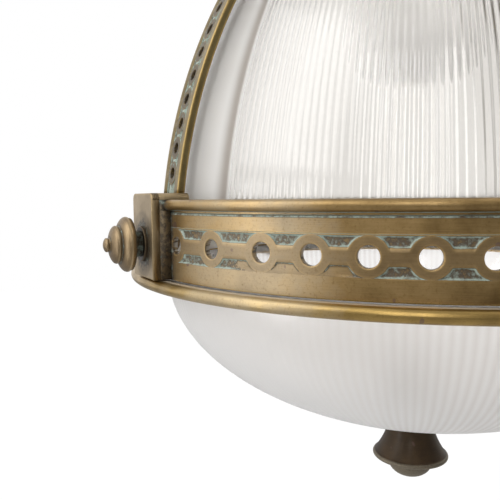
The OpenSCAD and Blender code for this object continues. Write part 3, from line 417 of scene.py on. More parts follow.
def aged_brass(name, tone, worn, tarnish, roughness, grain, grain_depth, turned=0.0, enamel=0.0, knob_shadow=0.0):
    """Unlacquered brass gone brown with age. Tarnish lies in soft clouds about 20 mm wide, and a fine skin of `grain`
    millimetres breaks it up. Edges marked rubbed are bright. Hollows marked grimy turn from brown dirt to the chalky
    blue-green of verdigris, in patches of 2.4 mm. `turned` draws the fine lines that a lathe or a polishing mop
    leaves, 14 mm long and 0.45 mm apart. The side that faces 204 degrees round has a painted highlight, a pale matt
    colour that fades over 15 degrees, and there are a few purplish spots 6 mm wide. `enamel` is the share of white
    enamel on the faces marked -1, inside the gallery, where it throws the bulb's light down. The last argument paints
    a shadow round the knobs' axis, full out to 10 mm and gone at 18 mm, which darkens as dirt does."""
    material, tree = new_material(name)
    place = add(tree, "TexCoord").node.outputs
    obj = place["Object"]
    clouds = add(tree, "TexNoise", {"Vector": obj, "Scale": 1000 / 20, "Detail": 5, "Roughness": 0.6})
    skin = add(tree, "TexNoise", {"Vector": obj, "Scale": 1000 / grain, "Detail": 4, "Roughness": 0.65})
    chalk = add(tree, "TexNoise", {"Vector": obj, "Scale": 1000 / 2.4, "Detail": 4, "Roughness": 0.7})
    spots = add(tree, "TexNoise", {"Vector": obj, "Scale": 1000 / 6, "Detail": 1})
    stretched = add(tree, "Mapping", {"Vector": place["UV"], "Scale": (1 / 14, 1 / 0.45, 1)})
    lines = add(tree, "TexNoise", {"Vector": stretched, "Scale": 1.0, "Detail": 3, "Roughness": 0.55})
    rubbed = add(tree, "Attribute", attribute_name="rubbed", output="Fac")
    marked = add(tree, "Attribute", attribute_name="grimy", output="Fac")

    # Distance from the knobs' axis, for the painted shadow round them, and how far the place faces the side of the
    # painted highlight.
    centred = add(tree, "VectorMath", {0: obj, 1: (0, 0, holes_z * MM)}, operation="SUBTRACT")
    aside = add(tree, "VectorMath", {0: centred, 1: (0, 1, 1)}, operation="MULTIPLY")
    far = add(tree, "VectorMath", {0: aside}, operation="LENGTH", output="Value")
    # Painted shadow round the knobs' axis, added to the grimy mark so that it darkens as dirt does.
    painted_knob_shadow = add(tree, "MapRange", {0: far, 1: 18 * MM, 2: 10 * MM, 3: 0.0, 4: knob_shadow})
    grimy = add(tree, "Math", {0: marked, 1: painted_knob_shadow}, operation="ADD")
    outwards = add(tree, "VectorMath", {0: centred}, operation="NORMALIZE")
    window = add(tree, "VectorMath", {0: outwards, 1: painted_highlight_side}, operation="DOT_PRODUCT", output="Value")
    uneven = add(tree, "Math", {0: clouds, 1: 0.12, 2: window}, operation="MULTIPLY_ADD")
    painted_highlight_share = add(tree, "MapRange", {0: uneven, 1: 1.015, 2: 1.056, 3: 0.02, 4: 0.38})

    # The metal's colour: tone to tarnish by the clouds, with bright rubbed edges.
    streak = add(tree, "Math", {0: lines, 1: turned, 2: 0.0}, operation="MULTIPLY_ADD")
    cloud_sum = add(tree, "Math", {0: streak, 1: clouds}, operation="ADD")
    half_line = 0.5 * turned
    cloudy = add(tree, "MapRange", {0: cloud_sum, 1: 0.34 + half_line, 2: 0.7 + half_line})
    body = add(tree, "Mix", {0: cloudy, 6: linear(tone), 7: linear(tarnish)}, data_type="RGBA", output=2)
    skin_rub = add(tree, "Math", {0: skin, 1: 1.6, 2: -0.1}, operation="MULTIPLY_ADD")
    edge = add(tree, "Math", {0: rubbed, 1: skin_rub}, operation="MULTIPLY", use_clamp=True)
    rub = add(tree, "Mix", {0: edge, 6: body, 7: linear(worn)}, data_type="RGBA", output=2)

    # Dirt: patches where it is deep, a thin veil elsewhere, and verdigris where it is deepest, with a little more of it
    # where the painted highlight lies. The painted shadow round the knobs darkens as dirt does.
    patchy = add(tree, "Math", {0: chalk, 1: 1.5, 2: -0.75}, operation="MULTIPLY_ADD")
    spread = add(tree, "Math", {0: grimy, 1: patchy}, operation="ADD")
    present = add(tree, "MapRange", {0: grimy, 1: 0.02, 2: 0.3})
    dirt_edge = add(tree, "MapRange", {0: spread, 1: 0.15, 2: 0.42})
    patches = add(tree, "Math", {0: dirt_edge, 1: present}, operation="MULTIPLY")
    veil = add(tree, "MapRange", {0: grimy, 1: 0.02, 2: 0.13, 3: 0.0, 4: 0.38})
    dirt = add(tree, "Math", {0: patches, 1: veil}, operation="MAXIMUM")
    salts = add(tree, "Math", {0: painted_highlight_share, 1: 0.2, 2: spread}, operation="MULTIPLY_ADD")
    green_edge = add(tree, "MapRange", {0: salts, 1: 0.5, 2: 0.82})
    green = add(tree, "Math", {0: green_edge, 1: present}, operation="MULTIPLY")
    soiled = add(tree, "Mix", {0: dirt, 6: rub, 7: linear(dirt_brown)}, data_type="RGBA", output=2)
    crusty = add(tree, "Mix", {0: green, 6: soiled, 7: linear(verdigris)}, data_type="RGBA", output=2)

    # Over it all: the painted highlight, pale on clean metal, flecks of tarnish, the spots, and the enamel inside.
    clean = add(tree, "Math", {0: 1.0, 1: dirt}, operation="SUBTRACT")
    painted_highlight = add(tree, "Math", {0: painted_highlight_share, 1: clean}, operation="MULTIPLY")
    pale = add(tree, "Mix", {0: painted_highlight, 6: crusty, 7: linear(painted_highlight_pale)}, data_type="RGBA", output=2)
    fleck = add(tree, "MapRange", {0: skin, 1: 0.54, 2: 0.7, 3: 0.0, 4: 0.45})
    flecked = add(tree, "Mix", {0: fleck, 6: pale, 7: linear(tarnish)}, data_type="RGBA", output=2)
    spot = add(tree, "MapRange", {0: spots, 1: 0.74, 2: 0.77, 3: 0.0, 4: 0.6})
    spotted = add(tree, "Mix", {0: spot, 6: flecked, 7: linear(spot_brown)}, data_type="RGBA", output=2)
    inside = add(tree, "Math", {0: rubbed, 1: -enamel}, operation="MULTIPLY", use_clamp=True)
    colour = add(tree, "Mix", {0: inside, 6: spotted, 7: linear(enamel_white)}, data_type="RGBA", output=2)

    # Dirt, salts, enamel and the painted highlight hide the metal and make it rougher, and a thin old wax lies over all
    # of it.
    covered = add(tree, "Math", {0: dirt, 1: 0.45, 2: 0.0}, operation="MULTIPLY_ADD")
    dusty = add(tree, "Math", {0: painted_highlight, 1: 0.7, 2: covered}, operation="MULTIPLY_ADD")
    crusted = add(tree, "Math", {0: dusty, 1: green}, operation="MAXIMUM")
    hidden = add(tree, "Math", {0: crusted, 1: inside}, operation="MAXIMUM")
    metal = add(tree, "Math", {0: 1.0, 1: hidden}, operation="SUBTRACT", use_clamp=True)
    rough_cloud = add(tree, "Math", {0: cloudy, 1: 0.14, 2: roughness}, operation="MULTIPLY_ADD")
    rough = add(tree, "Math", {0: hidden, 1: 0.4, 2: rough_cloud}, operation="MULTIPLY_ADD", use_clamp=True)
    height = add(tree, "Math", {0: skin, 1: 1.0, 2: streak}, operation="MULTIPLY_ADD")
    bump = add(tree, "Bump", {"Height": height, "Strength": 0.5, "Distance": grain_depth * MM})
    wax = {"Coat Weight": 0.25, "Coat Roughness": 0.3}
    metal_look = {"Base Color": colour, "Metallic": metal, "Roughness": rough, "Normal": bump}
    shader = add(tree, "BsdfPrincipled", metal_look | wax)
    add(tree, "OutputMaterial", {"Surface": shader})
    return material


# Sand cast and turned: golden brown, with faint lathe lines and white enamel inside.
cast_brass = aged_brass("antique_cast_brass", "#A58858", "#E0BB78", "#70582F", 0.36, 1.1, 0.12, turned=0.25, enamel=1.0)
fit(gallery, cast_brass, "frame", "cast_brass", "gallery_band")


# Straps: two pierced brass bars, bent to the curve that the dome follows, with the gallery's ring and bar pattern on a
# smaller scale. They stand on the ears and are screwed to the crown cap at their upper ends.
curve_r, curve_z, curve_inset = 294, -8, 4.2
curve_x = band_r - curve_inset - curve_r
strap_half, strap_t = 11, 4.1
strap_ring, strap_hole, strap_bar = 5.7, 2.9, 1.6
strap_pitch, plain_end = 13.15, 22
foot_to_ring, foot_sunk = 2.06, 0.1
ear_top = band_top + 3.3
crown_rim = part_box("crown_cap")[0].z / MM - holes_z
strap_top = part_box("left_strap")[1].z / MM - holes_z
foot_angle = np.degrees(np.arcsin((ear_top - curve_z) / curve_r))
end_angle = np.arcsin((strap_top - curve_z) / (curve_r - 0.4))

# The right strap and ear are made in place, and the left ones are the same half a turn round.
both_sides = (("left", np.array((-1, -1, 1))), ("right", np.array((1, 1, 1))))


def on_strap(along, across, outwards):
    """Bends the pattern along the strap's arc, whose centre lies beyond the lamp's axis."""
    angle = along / curve_r
    r = curve_r + outwards
    x, z = curve_x + r * np.cos(angle), curve_z + r * np.sin(angle)
    return np.stack([x, np.broadcast_to(across, angle.shape), z], -1)


first_ring = radians(foot_angle + foot_to_ring) * curve_r
strap_low = radians(foot_angle - foot_sunk) * curve_r
strap_high = end_angle * curve_r
ring_count = 1 + int((strap_high - plain_end - first_ring) / strap_pitch)
at = first_ring + strap_pitch * np.arange(ring_count)
centres = np.concatenate([at, at])
sides = np.repeat([1, -1], ring_count)

# The first ring's cell reaches down to the foot, and the last one's up to the crown, where the bar is plain.
reach = np.full(2 * ring_count, strap_pitch / 2)
reach[ring_count - 1] = strap_high - at[-1]
reach[ring_count] = at[0] - strap_low
sunk = (reach < strap_pitch).astype(float)
sunk[ring_count - 1] = 0
sunk[ring_count] = 1
upper = eased([(0, strap_ring, 0), (0, strap_half, 0.7), (-strap_t, strap_half, 0.7), (-strap_t, strap_ring, 0)])
lower = upper * (1, -1, 1, 1)

# The straps' brass has greyed, and is a little rougher than the gallery's.
strap_brass = aged_brass("greyed_cast_brass", "#86754A", "#B99C60", "#685A3A", 0.42, 1.1, 0.12, turned=0.2)
for side, turn in both_sides:
    strap = pierced(
        "strap_" + side, centres, sides, reach, sunk, strap_ring, strap_hole, strap_bar, strap_t, [upper, lower],
        lambda a, z, o: on_strap(a, z, o) * turn, lambda a: 0 * a, clogged=True, close_ends=True,
    )
    fit(strap, strap_brass, "frame", "cast_brass", side + "_strap")


# Ears: stout inverted-L brass brackets, one at each end of the X axis. A block behind the upright fills the space to
# the band, and its top reaches in over the bead to carry the strap's foot. A threaded stud passes through the upright.
ear_half, ear_x, ear_t, ear_corner, ear_foot = 16.25, 175.1, 4, 3, -17.2
ear_back, ear_in = ear_x + 0.3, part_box("right_ear")[0].x / MM
ear_ease, ear_join = 0.6, groove_high - 0.2
bead_edge = band_r + bead_out + bead_r - 1.2

# Outlines seen from the front: the upright, the shelf over the bead, and behind the upright a block up to the groove
# and a rib from there up to the bead's top.
top_corners = arc_points((ear_half - ear_corner, ear_top - ear_corner), ear_corner, 0, 90, 7)
top_corners += arc_points((-ear_half + ear_corner, ear_top - ear_corner), ear_corner, 90, 180, 7)
upright = np.array([(-ear_half, ear_foot, 0), (ear_half, ear_foot, 0)] + top_corners)
shelf = np.array([(-ear_half, band_top, 0), (ear_half, band_top, 0)] + top_corners)
across = np.linspace(-ear_half + 0.05, ear_half - 0.05, 13)
block = np.array([(y, ear_foot + 0.05, 0) for y in across] + [(y, ear_join, 0) for y in across[::-1]])
rib = np.array([(y, ear_join, 0) for y in across] + [(y, band_top, 0) for y in across[::-1]])


def slab(outline, x0, x1, ease, place, ease_back=0.0, soil=0.0):
    """Grids for a flat plate with an outline of its own: rings of that outline, drawn in over `ease` at the face x1 and
    over `ease_back` at x0 by a quarter of a circle, and closed on the outline's middle. Each face starts 0.6 further
    in, so that a rubbed edge stays narrow. `soil` is the dirt on all of it."""
    outline = np.concatenate([outline, outline[:1]])[:, :2]
    middle = (outline.max(0) + outline.min(0)) / 2
    half = (outline.max(0) - outline.min(0)) / 2
    t = np.radians(np.linspace(0, 90, 5))
    inset = np.concatenate([[ease_back + 0.6], ease_back * (1 - np.sin(t)), ease * (1 - np.cos(t)), [ease + 0.6]])
    x = np.concatenate([[x0, x0], x0 + ease_back * (1 - np.cos(t)), x1 - ease * (1 - np.sin(t)), [x1, x1]])
    mark = np.concatenate([[0, 0], np.full(5, 0.3 * (ease_back > 0)), np.full(5, 0.3 * (ease > 0)), [0, 0]])
    shrink = 1 - inset[None, :, None] / half
    pole = np.broadcast_to(middle, (len(outline), 1, 2))
    rings = np.concatenate([pole, middle + (outline - middle)[:, None] * shrink, pole], 1)
    points = np.concatenate([np.broadcast_to(x[None, :, None], (*rings.shape[:2], 1)), rings], 2)
    return place(points), mark, soil, rings[..., 0], rings[..., 1]


def against(r, points):
    """Bends a plate's inner end to a curve of this radius, and leaves its outer end flat: a share of the arc's sag,
    r - sqrt(r squared - y squared), that grows from 0 at the back of the upright to 1 at the curve."""
    x, y = points[..., 0], points[..., 1]
    share = np.clip((ear_back - x) / (ear_x - r), 0, 1)
    return np.stack([x - share * (r - np.sqrt(r**2 - y**2)), y, points[..., 2]], -1)


# The ears' brass is smooth and dull, with a painted shadow round the knobs.
ear_brass = aged_brass("smooth_aged_brass", "#A89474", "#C8AC74", "#857459", 0.42, 1.4, 0.05, knob_shadow=0.5)
for side, turn in both_sides:
    plates = [
        slab(upright, ear_x, ear_x + ear_t, ear_ease, lambda points: points * turn),
        slab(shelf, ear_in, ear_x + ear_t - ear_ease, 0.0, lambda points: points * turn, ease_back=0.4),
        # The block's soil is partly dirt and partly painted shade in the gap behind the upright.
        slab(block, band_r + 0.3, ear_back, 0.0, lambda points: against(band_r, points) * turn, soil=0.3),
        slab(rib, bead_edge, ear_back, 0.0, lambda points: against(bead_edge, points) * turn, soil=0.56),
    ]
    fit(shell("ear_" + side, plates), ear_brass, "frame", "cast_brass", side + "_ear")


# Knobs: turned brass thumb nuts with a narrow neck, three stepped tiers and a rounded tip, on the ears' studs. A plain
# washer lies behind each.
washer_x, washer_in, washer_r, washer_t = 179.2, 3, 9, 1.4
knob_x, flange_x, tier_x, tip_x, knob_end = 180.7, 185.7, 191.5, 196.4, 199.5
knob_neck_r, flange_r, tier_r, tip_r = 6.5, 14, 9.6, 3.6


def turned_shape(outline, axis=(0, 0, 1), steps=128):
    """A grid for a turned piece: the outline's rows (radius, distance along the axis, rubbed, grimy) swept once round
    the axis, by radius * (cos * side + sin * up) + distance * axis."""
    angle = np.linspace(0, 2 * np.pi, steps + 1)[:, None]
    axis = np.array(axis, float)
    side = np.array((1.0, 0, 0)) if abs(axis[0]) < 0.5 else np.array((0, 1.0, 0))
    up = np.cross(axis, side)
    outline = np.concatenate([outline, outline[:1]])
    r, d = outline[:, 0][None, :, None], outline[:, 1][None, :, None]
    points = r * (np.cos(angle)[..., None] * side + np.sin(angle)[..., None] * up) + d * axis
    across = np.concatenate([[0], np.cumsum(np.hypot(*np.diff(outline[:, :2], axis=0).T))])
    along = angle * max(outline[:, 0].max(), 1)
    return points, outline[:, 2], outline[:, 3], along, across


def tier(r, x, edge, next_r, next_x, soil=1.0):
    """A tier of radius r: its foot at x, its rounded edge, and a full shoulder up to the next tier's foot, by powers
    of 1.25 of the cosine and sine. `soil` is the dirt at its foot and at the shoulder's upper end."""
    t = np.radians(np.linspace(-60, 20, 9))
    rim = np.stack([r - edge + edge * np.cos(t), x + 1.6 * edge + edge * np.sin(t), 0 * t + 0.5, 0 * t], 1)
    t = np.radians(np.linspace(8, 80, 13))
    out = next_r + (rim[-1, 0] - next_r) * np.cos(t) ** 1.25
    up = rim[-1, 1] + (next_x - rim[-1, 1]) * np.sin(t) ** 1.25
    shoulder = np.stack([out, up, 0 * t, 0.4 * soil * (t > 1.2)], 1)
    return np.concatenate([[(r - edge / 2, x, 0, 0.6 * soil)], rim, shoulder])


knob_rows = np.concatenate(
    [
        [(0, knob_x, 0, 0.6), (knob_neck_r, knob_x, 0, 0.6), (knob_neck_r, flange_x, 0, 0.6)],
        tier(flange_r, flange_x, 1.3, tier_r - 0.5, tier_x),
        tier(tier_r, tier_x, 1.0, tip_r - 0.4, tip_x),
        tier(tip_r, tip_x, 0.8, 0, knob_end, 0.0),
        [(0, knob_end, 0, 0)],
    ]
)
washer_end = washer_x + washer_t
washer_rows = eased(
    [(washer_in, washer_x, 0), (washer_r, washer_x, 0.2), (washer_r, washer_end, 0.3), (washer_in, washer_end, 0)]
)

# The knobs' brass is browner than the castings, with fine lathe lines. The washers have blackened.
turned_brass = aged_brass("old_turned_brass", "#8F7A5A", "#C9B28A", "#6B5A45", 0.4, 0.8, 0.05, turned=0.3)
dark_brass = aged_brass("blackened_brass_washer", "#55473A", "#7C6A4E", "#3C322A", 0.45, 0.9, 0.04)
for side, turn in both_sides:
    axis = (turn[0], 0, 0)
    knob = shell("knob_" + side, [turned_shape(knob_rows, axis, 96)])
    fit(knob, turned_brass, side + "_thumb", "turned_brass", side + "_knob")
    washer = shell("knob_washer_" + side, [turned_shape(washer_rows, axis, 72)])
    fit(washer, dark_brass, side + "_cup", "turned_brass", side + "_knob_washer")


# Dome: pressed soda glass with 276 upright prisms on its outer wall, which die out above a plain lip. The lip stands
# on felt on the ledge inside the band. Clear glass, so it shows white with grey lines where a prism's flank bends the
# view sideways.
glass_inset, dome_t, dome_foot, dome_lip, dome_lip_h = 8.1, 4, 13.3, 163, 4.5
dome_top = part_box("dome_glass")[1].z / MM - holes_z
dome_shoulder = dome_foot + dome_lip_h
dome_ribs, rib_depth = 276, 0.28
strip_edge, strip_fade = 17.5, 2.5


def arch(inset, z):
    """Radius at height z of the arch `inset` millimetres inside the straps' outer curve: the circle's own, solved
    for x."""
    return curve_x + np.sqrt((curve_r - inset) ** 2 - (np.asarray(z) - curve_z) ** 2)


def prisms(outside, inside, ribs, depth, steps=6, soil=0.0, polish=0.0, dusty=0.0):
    """Grids for a prismatic glass. `outside` has rows (radius, height, share of the prisms' depth) from one rim to the
    other: there the wall is drawn in between the crests by a rounded zigzag, the arcsine of 0.95 of a cosine. `inside`
    has rows (radius, height) back again, on a third as many columns. Each rim joins the two by triangles. `soil` marks
    the plain strips beside the straps, with more dust 14.6 degrees from them, and `polish` a smooth inner face. `dusty`
    is the dust between the crests, on the sides away from the straps."""
    turn = np.linspace(0, 2 * np.pi, ribs * steps + 1)
    zigzag = (1 - np.arcsin(0.95 * np.cos(turn * ribs)) / np.arcsin(0.95)) / 2
    near = np.round(np.arange(len(turn)) / 3).astype(int) * 3
    from_strap = np.degrees(np.abs(np.arcsin(np.sin(turn))))[:, None]
    plain = soil * np.clip((strip_edge - from_strap) / strip_fade, 0, 1)
    soiled = plain * (0.62 + 0.38 * bell(from_strap, 14.6, 2.2))
    soiled = soiled + dusty * zigzag[:, None] * np.clip((np.abs(np.sin(turn[:, None])) - 0.45) * 2.5, 0, 1)
    r = outside[:, 0] - depth * zigzag[:, None] * outside[:, 2] * (1 - plain)

    def wrap(radius, angle, height):
        return np.stack([radius * np.cos(angle), radius * np.sin(angle), np.broadcast_to(height, radius.shape)], -1)

    out = wrap(r, turn[:, None], outside[:, 1])
    few = turn[::3, None]
    back = wrap(np.broadcast_to(inside[:, 0], (len(few), len(inside))), few, inside[:, 1])
    first = np.stack([back[near // 3, -1], out[:, 0]], 1)
    last = np.stack([out[:, -1], back[near // 3, 0]], 1)
    across = np.cumsum(np.hypot(*np.diff(outside[:, :2], axis=0, prepend=outside[:1, :2]).T))
    round_it = 150
    return [
        (out, 0.0, soiled, turn[:, None] * round_it, across),
        (back, 0.0, -polish, few * round_it, inside[:, 1]),
        (first, 0.0, 0.0, turn[:, None] * round_it, np.zeros(2)),
        (last, 0.0, 0.0, turn[:, None] * round_it, np.zeros(2)),
    ]


height = dome_shoulder + (dome_top - dome_foot - dome_lip_h) * np.linspace(0, 1, 40) ** 1.2
wall_rows = np.stack([arch(glass_inset, height), height, np.clip((height - height[0]) / 0.5, 0, 1)], 1)
lip_rows = [(dome_lip - 0.6, dome_foot, 0), (dome_lip, dome_foot + 0.6, 0)]
lip_rows += [(dome_lip, dome_shoulder - 0.6, 0), (dome_lip - 0.6, dome_shoulder, 0)]
outside = np.concatenate([lip_rows, wall_rows])
height = np.linspace(dome_top, dome_foot, 30)
inside = np.stack([arch(glass_inset + dome_t, height), height], 1)
dome = shell("dome", prisms(outside, inside, dome_ribs, rib_depth, soil=1.0))


def pressed_glass(name, tint, roughness, haze, dust_tint, dust_from=0.0, milky=0.0):
    """Pressed soda glass, IOR 1.52. Its surface waves a little from the mould, over about 12 mm, and a thin film of
    dust, `haze`, dulls it in patches of 35 mm. Where it is marked grimy it is rougher and scatters more light, and
    above `dust_from` it takes `dust_tint`. `milky` is the share of light that a satin face scatters where it is seen
    edge on."""
    material, tree = new_material(name)
    obj = add(tree, "TexCoord", output="Object")
    ripple = add(tree, "TexNoise", {"Vector": obj, "Scale": 1000 / 12, "Detail": 2})
    dust = add(tree, "TexNoise", {"Vector": obj, "Scale": 1000 / 35, "Detail": 5, "Roughness": 0.7})
    film = add(tree, "MapRange", {0: dust, 1: 0.35, 2: 0.75, 3: roughness, 4: roughness + haze})
    grimy = add(tree, "Attribute", attribute_name="grimy", output="Fac")
    film = add(tree, "Math", {0: grimy, 1: 0.35, 2: film}, operation="MULTIPLY_ADD", use_clamp=True)
    soiled = add(tree, "MapRange", {0: grimy, 1: dust_from, 2: 1.0})
    colour = add(tree, "Mix", {0: soiled, 6: linear(tint), 7: linear(dust_tint)}, data_type="RGBA", output=2)
    bump = add(tree, "Bump", {"Height": ripple, "Strength": 0.1, "Distance": 0.2 * MM})
    edge_on = add(tree, "LayerWeight", {"Blend": 0.5}, output="Facing")
    clean = add(tree, "Math", {0: grimy, 1: -0.42, 2: 1.0}, operation="MULTIPLY_ADD")
    clear = add(tree, "Math", {0: edge_on, 1: -milky, 2: clean}, operation="MULTIPLY_ADD", use_clamp=True)
    glass_look = {"Base Color": colour, "Roughness": film, "IOR": 1.52, "Transmission Weight": clear, "Normal": bump}
    shader = add(tree, "BsdfPrincipled", glass_look)
    add(tree, "OutputMaterial", {"Surface": shader})
    return material


# Clear glass, almost polished, with grey-brown dust beside the straps.
clear_glass = pressed_glass("clear_prismatic_soda_glass", "#F2F0ED", 0.06, 0.1, "#9A9086", dust_from=0.66)
fit(dome, clear_glass, "frame", "dome_glass", "dome_glass")


# Crown: a spun brass cap over the dome's open top, and a turned brass boss on it under the hanging eye. The cap
# follows the straps' inner curve, and the hanger tube holds both.
crown_top, crown_flat, crown_edge, crown_wall, crown_bore = 237.49, 26, 65.9, 2.5, 5.3
cap_inset = strap_t + 0.05
boss_h, boss_foot, boss_foot_h, boss_bore, roll_r, collar_r = 21, 24, 2.4, 5.1, 2.6, 10


def over(inset, r):
    """Height at radius r of the arch `inset` millimetres inside the straps' outer curve: the circle's own, solved
    for z."""
    return curve_z + np.sqrt((curve_r - inset) ** 2 - (np.asarray(r) - curve_x) ** 2)


r = np.linspace(crown_edge, crown_flat, 14)
cap_out = np.stack([r[1:-1], over(cap_inset, r[1:-1]), 0 * r[1:-1]], 1).tolist()
r_in = r[::-1] - 1.2
cap_back = np.stack([r_in, np.minimum(over(cap_inset + crown_wall, r_in), crown_top - crown_wall), 0 * r], 1).tolist()
cap_rows = eased(
    [(arch(cap_inset + crown_wall, crown_rim), crown_rim, 0.3), (arch(cap_inset, crown_rim), crown_rim, 0.5)]
    + cap_out
    + [(crown_flat - 1, crown_top, 1.2), (crown_bore, crown_top, 0), (crown_bore, crown_top - crown_wall, 0)]
    + cap_back
)

# Spun over a chuck: smoother than the castings, with the spinner's lines all round.
spun_brass = aged_brass("old_spun_brass", "#A58A5C", "#D9B474", "#7E6742", 0.33, 1.2, 0.04, turned=0.45)
fit(shell("crown_bowl_cap", [turned_shape(cap_rows, steps=160)]), spun_brass, "frame", "spun_brass", "crown_cap")

cove_z, roll_z = boss_h - 8, boss_h - 4
boss = (
    [(boss_bore, 0, 0), (boss_foot, 0, 0.3)]
    + arc_points((boss_foot, cove_z), cove_z - boss_foot_h, -90, -168, 14)
    + arc_points((collar_r + roll_r, roll_z), roll_r, -80, 80, 12)
    + [(collar_r + 1, boss_h, 0.4), (boss_bore, boss_h, 0)]
)
boss_rows = eased(boss) + (0, crown_top, 0, 0)
fit(shell("crown_turned_boss", [turned_shape(boss_rows)]), turned_brass, "frame", "turned_brass", "crown_boss")


# Bulb: a small opal glass one. Its globe joins a neck, 0.6 mm wider than the screw cap, by an S-shaped shoulder: half
# a wave of the cosine from the neck to 18 degrees up the globe.
globe_top, globe_centre, globe_r, globe_wall = 170.49, 122.49, 30, 1.2
neck_r, neck_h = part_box("bulb_cap")[1].x / MM + 0.6, 6
joins = radians(18)
side, low = globe_r * np.cos(joins), globe_centre + globe_r * np.sin(joins)
u = np.linspace(0, 1, 14)
out = neck_r + (side - neck_r) * (1 - np.cos(np.pi * u)) / 2
shoulder = np.stack([out, globe_top - neck_h + (low - globe_top + neck_h) * u, 0 * u], 1)
globe = [(0, globe_top, 0), (neck_r - 1, globe_top, 0)] + shoulder.tolist()
globe += arc_points((0, globe_centre), globe_r, 14, -90, 26)
hollow = [(0, globe_top - globe_wall, 0), (neck_r - 1 - globe_wall, globe_top - globe_wall, 0)]
hollow += (shoulder - (globe_wall, 0, 0)).tolist()
hollow += arc_points((0, globe_centre), globe_r - globe_wall, 14, -90, 26)
globe_rows = np.array([(r, z, 0, 0) for r, z, _ in globe + hollow[::-1]])


def glazed(name, tint, roughness, bump_mm, coat=0.0):
    """A pale glassy or glazed body: opal glass, enamel or porcelain. Faint clouds 15 mm wide vary its roughness, by up
    to six tenths."""
    material, tree = new_material(name)
    obj = add(tree, "TexCoord", output="Object")
    cloud = add(tree, "TexNoise", {"Vector": obj, "Scale": 1000 / 15, "Detail": 4})
    rough = add(tree, "MapRange", {0: cloud, 1: 0.3, 2: 0.7, 3: roughness, 4: roughness * 1.6})
    bump = add(tree, "Bump", {"Height": cloud, "Strength": 0.2, "Distance": bump_mm * MM})
    glaze = {"Base Color": linear(tint), "Roughness": rough, "Normal": bump, "Coat Weight": coat}
    shader = add(tree, "BsdfPrincipled", glaze)
    add(tree, "OutputMaterial", {"Surface": shader})
    return material


opal = glazed("opal_bulb_glass", "#FFFFFF", 0.3, 0.02)
fit(shell("bulb_opal_globe", [turned_shape(globe_rows, steps=96)]), opal, "bulb", "opal_bulb", "bulb_globe")


# Bowl ring: drawn brass bead bent to a circle, brazed to an L-section that carries the bowl's lip. Dirt lies on the
# bead's inner side, where it meets the section.
ring_bead_r, ring_bead_x, ring_bead_z = 3.08, 175.8, -20.9
ring_shelf_in, ring_shelf_z, ring_shelf_t, ring_rebate = 158.6, -24, 1.8, 172
lip_out, lip_top, lip_under = 174.2, -17.85, -19
shelf_top = ring_shelf_z + ring_shelf_t
bead_rows = np.array([(r, z, 0.0, 0.0) for r, z, _ in arc_points((ring_bead_x, ring_bead_z), ring_bead_r, 0, 345, 24)])
angle = np.degrees(np.arctan2(bead_rows[:, 1] - ring_bead_z, bead_rows[:, 0] - ring_bead_x))
bead_rows[:, 3] = 0.6 * np.clip((angle - 110) / 40, 0, 1)
shelf_rows = eased(
    [(ring_shelf_in, ring_shelf_z, 0.3), (ring_bead_x, ring_shelf_z, 0), (ring_bead_x, lip_under, 0)]
    + [(lip_out, lip_top, 0.3), (ring_rebate, lip_top, 0.3), (ring_rebate, shelf_top, 0.2)]
    + [(ring_shelf_in, shelf_top, 0.3)]
)

# The upper lip's inner face is enamelled like the gallery's inside.
enamelled = (shelf_rows[:, 1] > lip_top - 0.25) & (shelf_rows[:, 0] > ring_rebate - 0.1)
shelf_rows[enamelled, 2] = -1

# Drawn brass: the smoothest and most golden, with fine lines along it.
bead_brass = aged_brass("drawn_brass_bead", "#AA8C4E", "#DDB76C", "#7C6435", 0.3, 1.0, 0.04, turned=0.35, enamel=0.5)
ring = shell("bowl_ring_bead", [turned_shape(bead_rows, steps=300), turned_shape(shelf_rows, steps=300)])
fit(ring, bead_brass, "bowl_frame", "spun_brass", "bowl_ring")


# Bowl: pressed satin glass, half an ellipse in section, with 216 fine prisms that die out towards the finial. It hangs
# by its lip in the ring and is bored for the finial's stud.
lip_r, lip_z, lip_t, bowl_r, bowl_depth, bowl_t = 171.4, -21.4, 2.4, 157.3, 93.3, 4
bowl_ribs, bowl_rib_depth = 216, 0.12
low = np.radians(np.linspace(1.5, 88.2, 44))
share = np.clip((1.15 - low) / 0.25, 0, 1) * np.clip(low / 0.05, 0, 1)
wall_rows = np.stack([bowl_r * np.cos(low), lip_z - bowl_depth * np.sin(low), share], 1)
rim_rows = [(bowl_r - bowl_t, lip_z + lip_t, 0), (lip_r, lip_z + lip_t, 0), (lip_r, lip_z, 0), (bowl_r, lip_z, 0)]
outside = np.concatenate([rim_rows, wall_rows])
low = np.radians(np.linspace(88.1, 0, 34))
inside = np.stack([(bowl_r - bowl_t) * np.cos(low), lip_z - (bowl_depth - bowl_t) * np.sin(low)], 1)
bowl = shell("bowl", prisms(outside, inside, bowl_ribs, bowl_rib_depth, polish=1.0, dusty=0.3))

# Satin glass: acid makes it milky, and it is whitest where it is seen edge on.
milk_glass = pressed_glass("satin_prismatic_soda_glass", "#FFFDFB", 0.34, 0.06, "#C0B4A8", milky=0.6)
fit(bowl, milk_glass, "bowl_frame", "bowl_glass", "bowl_glass")


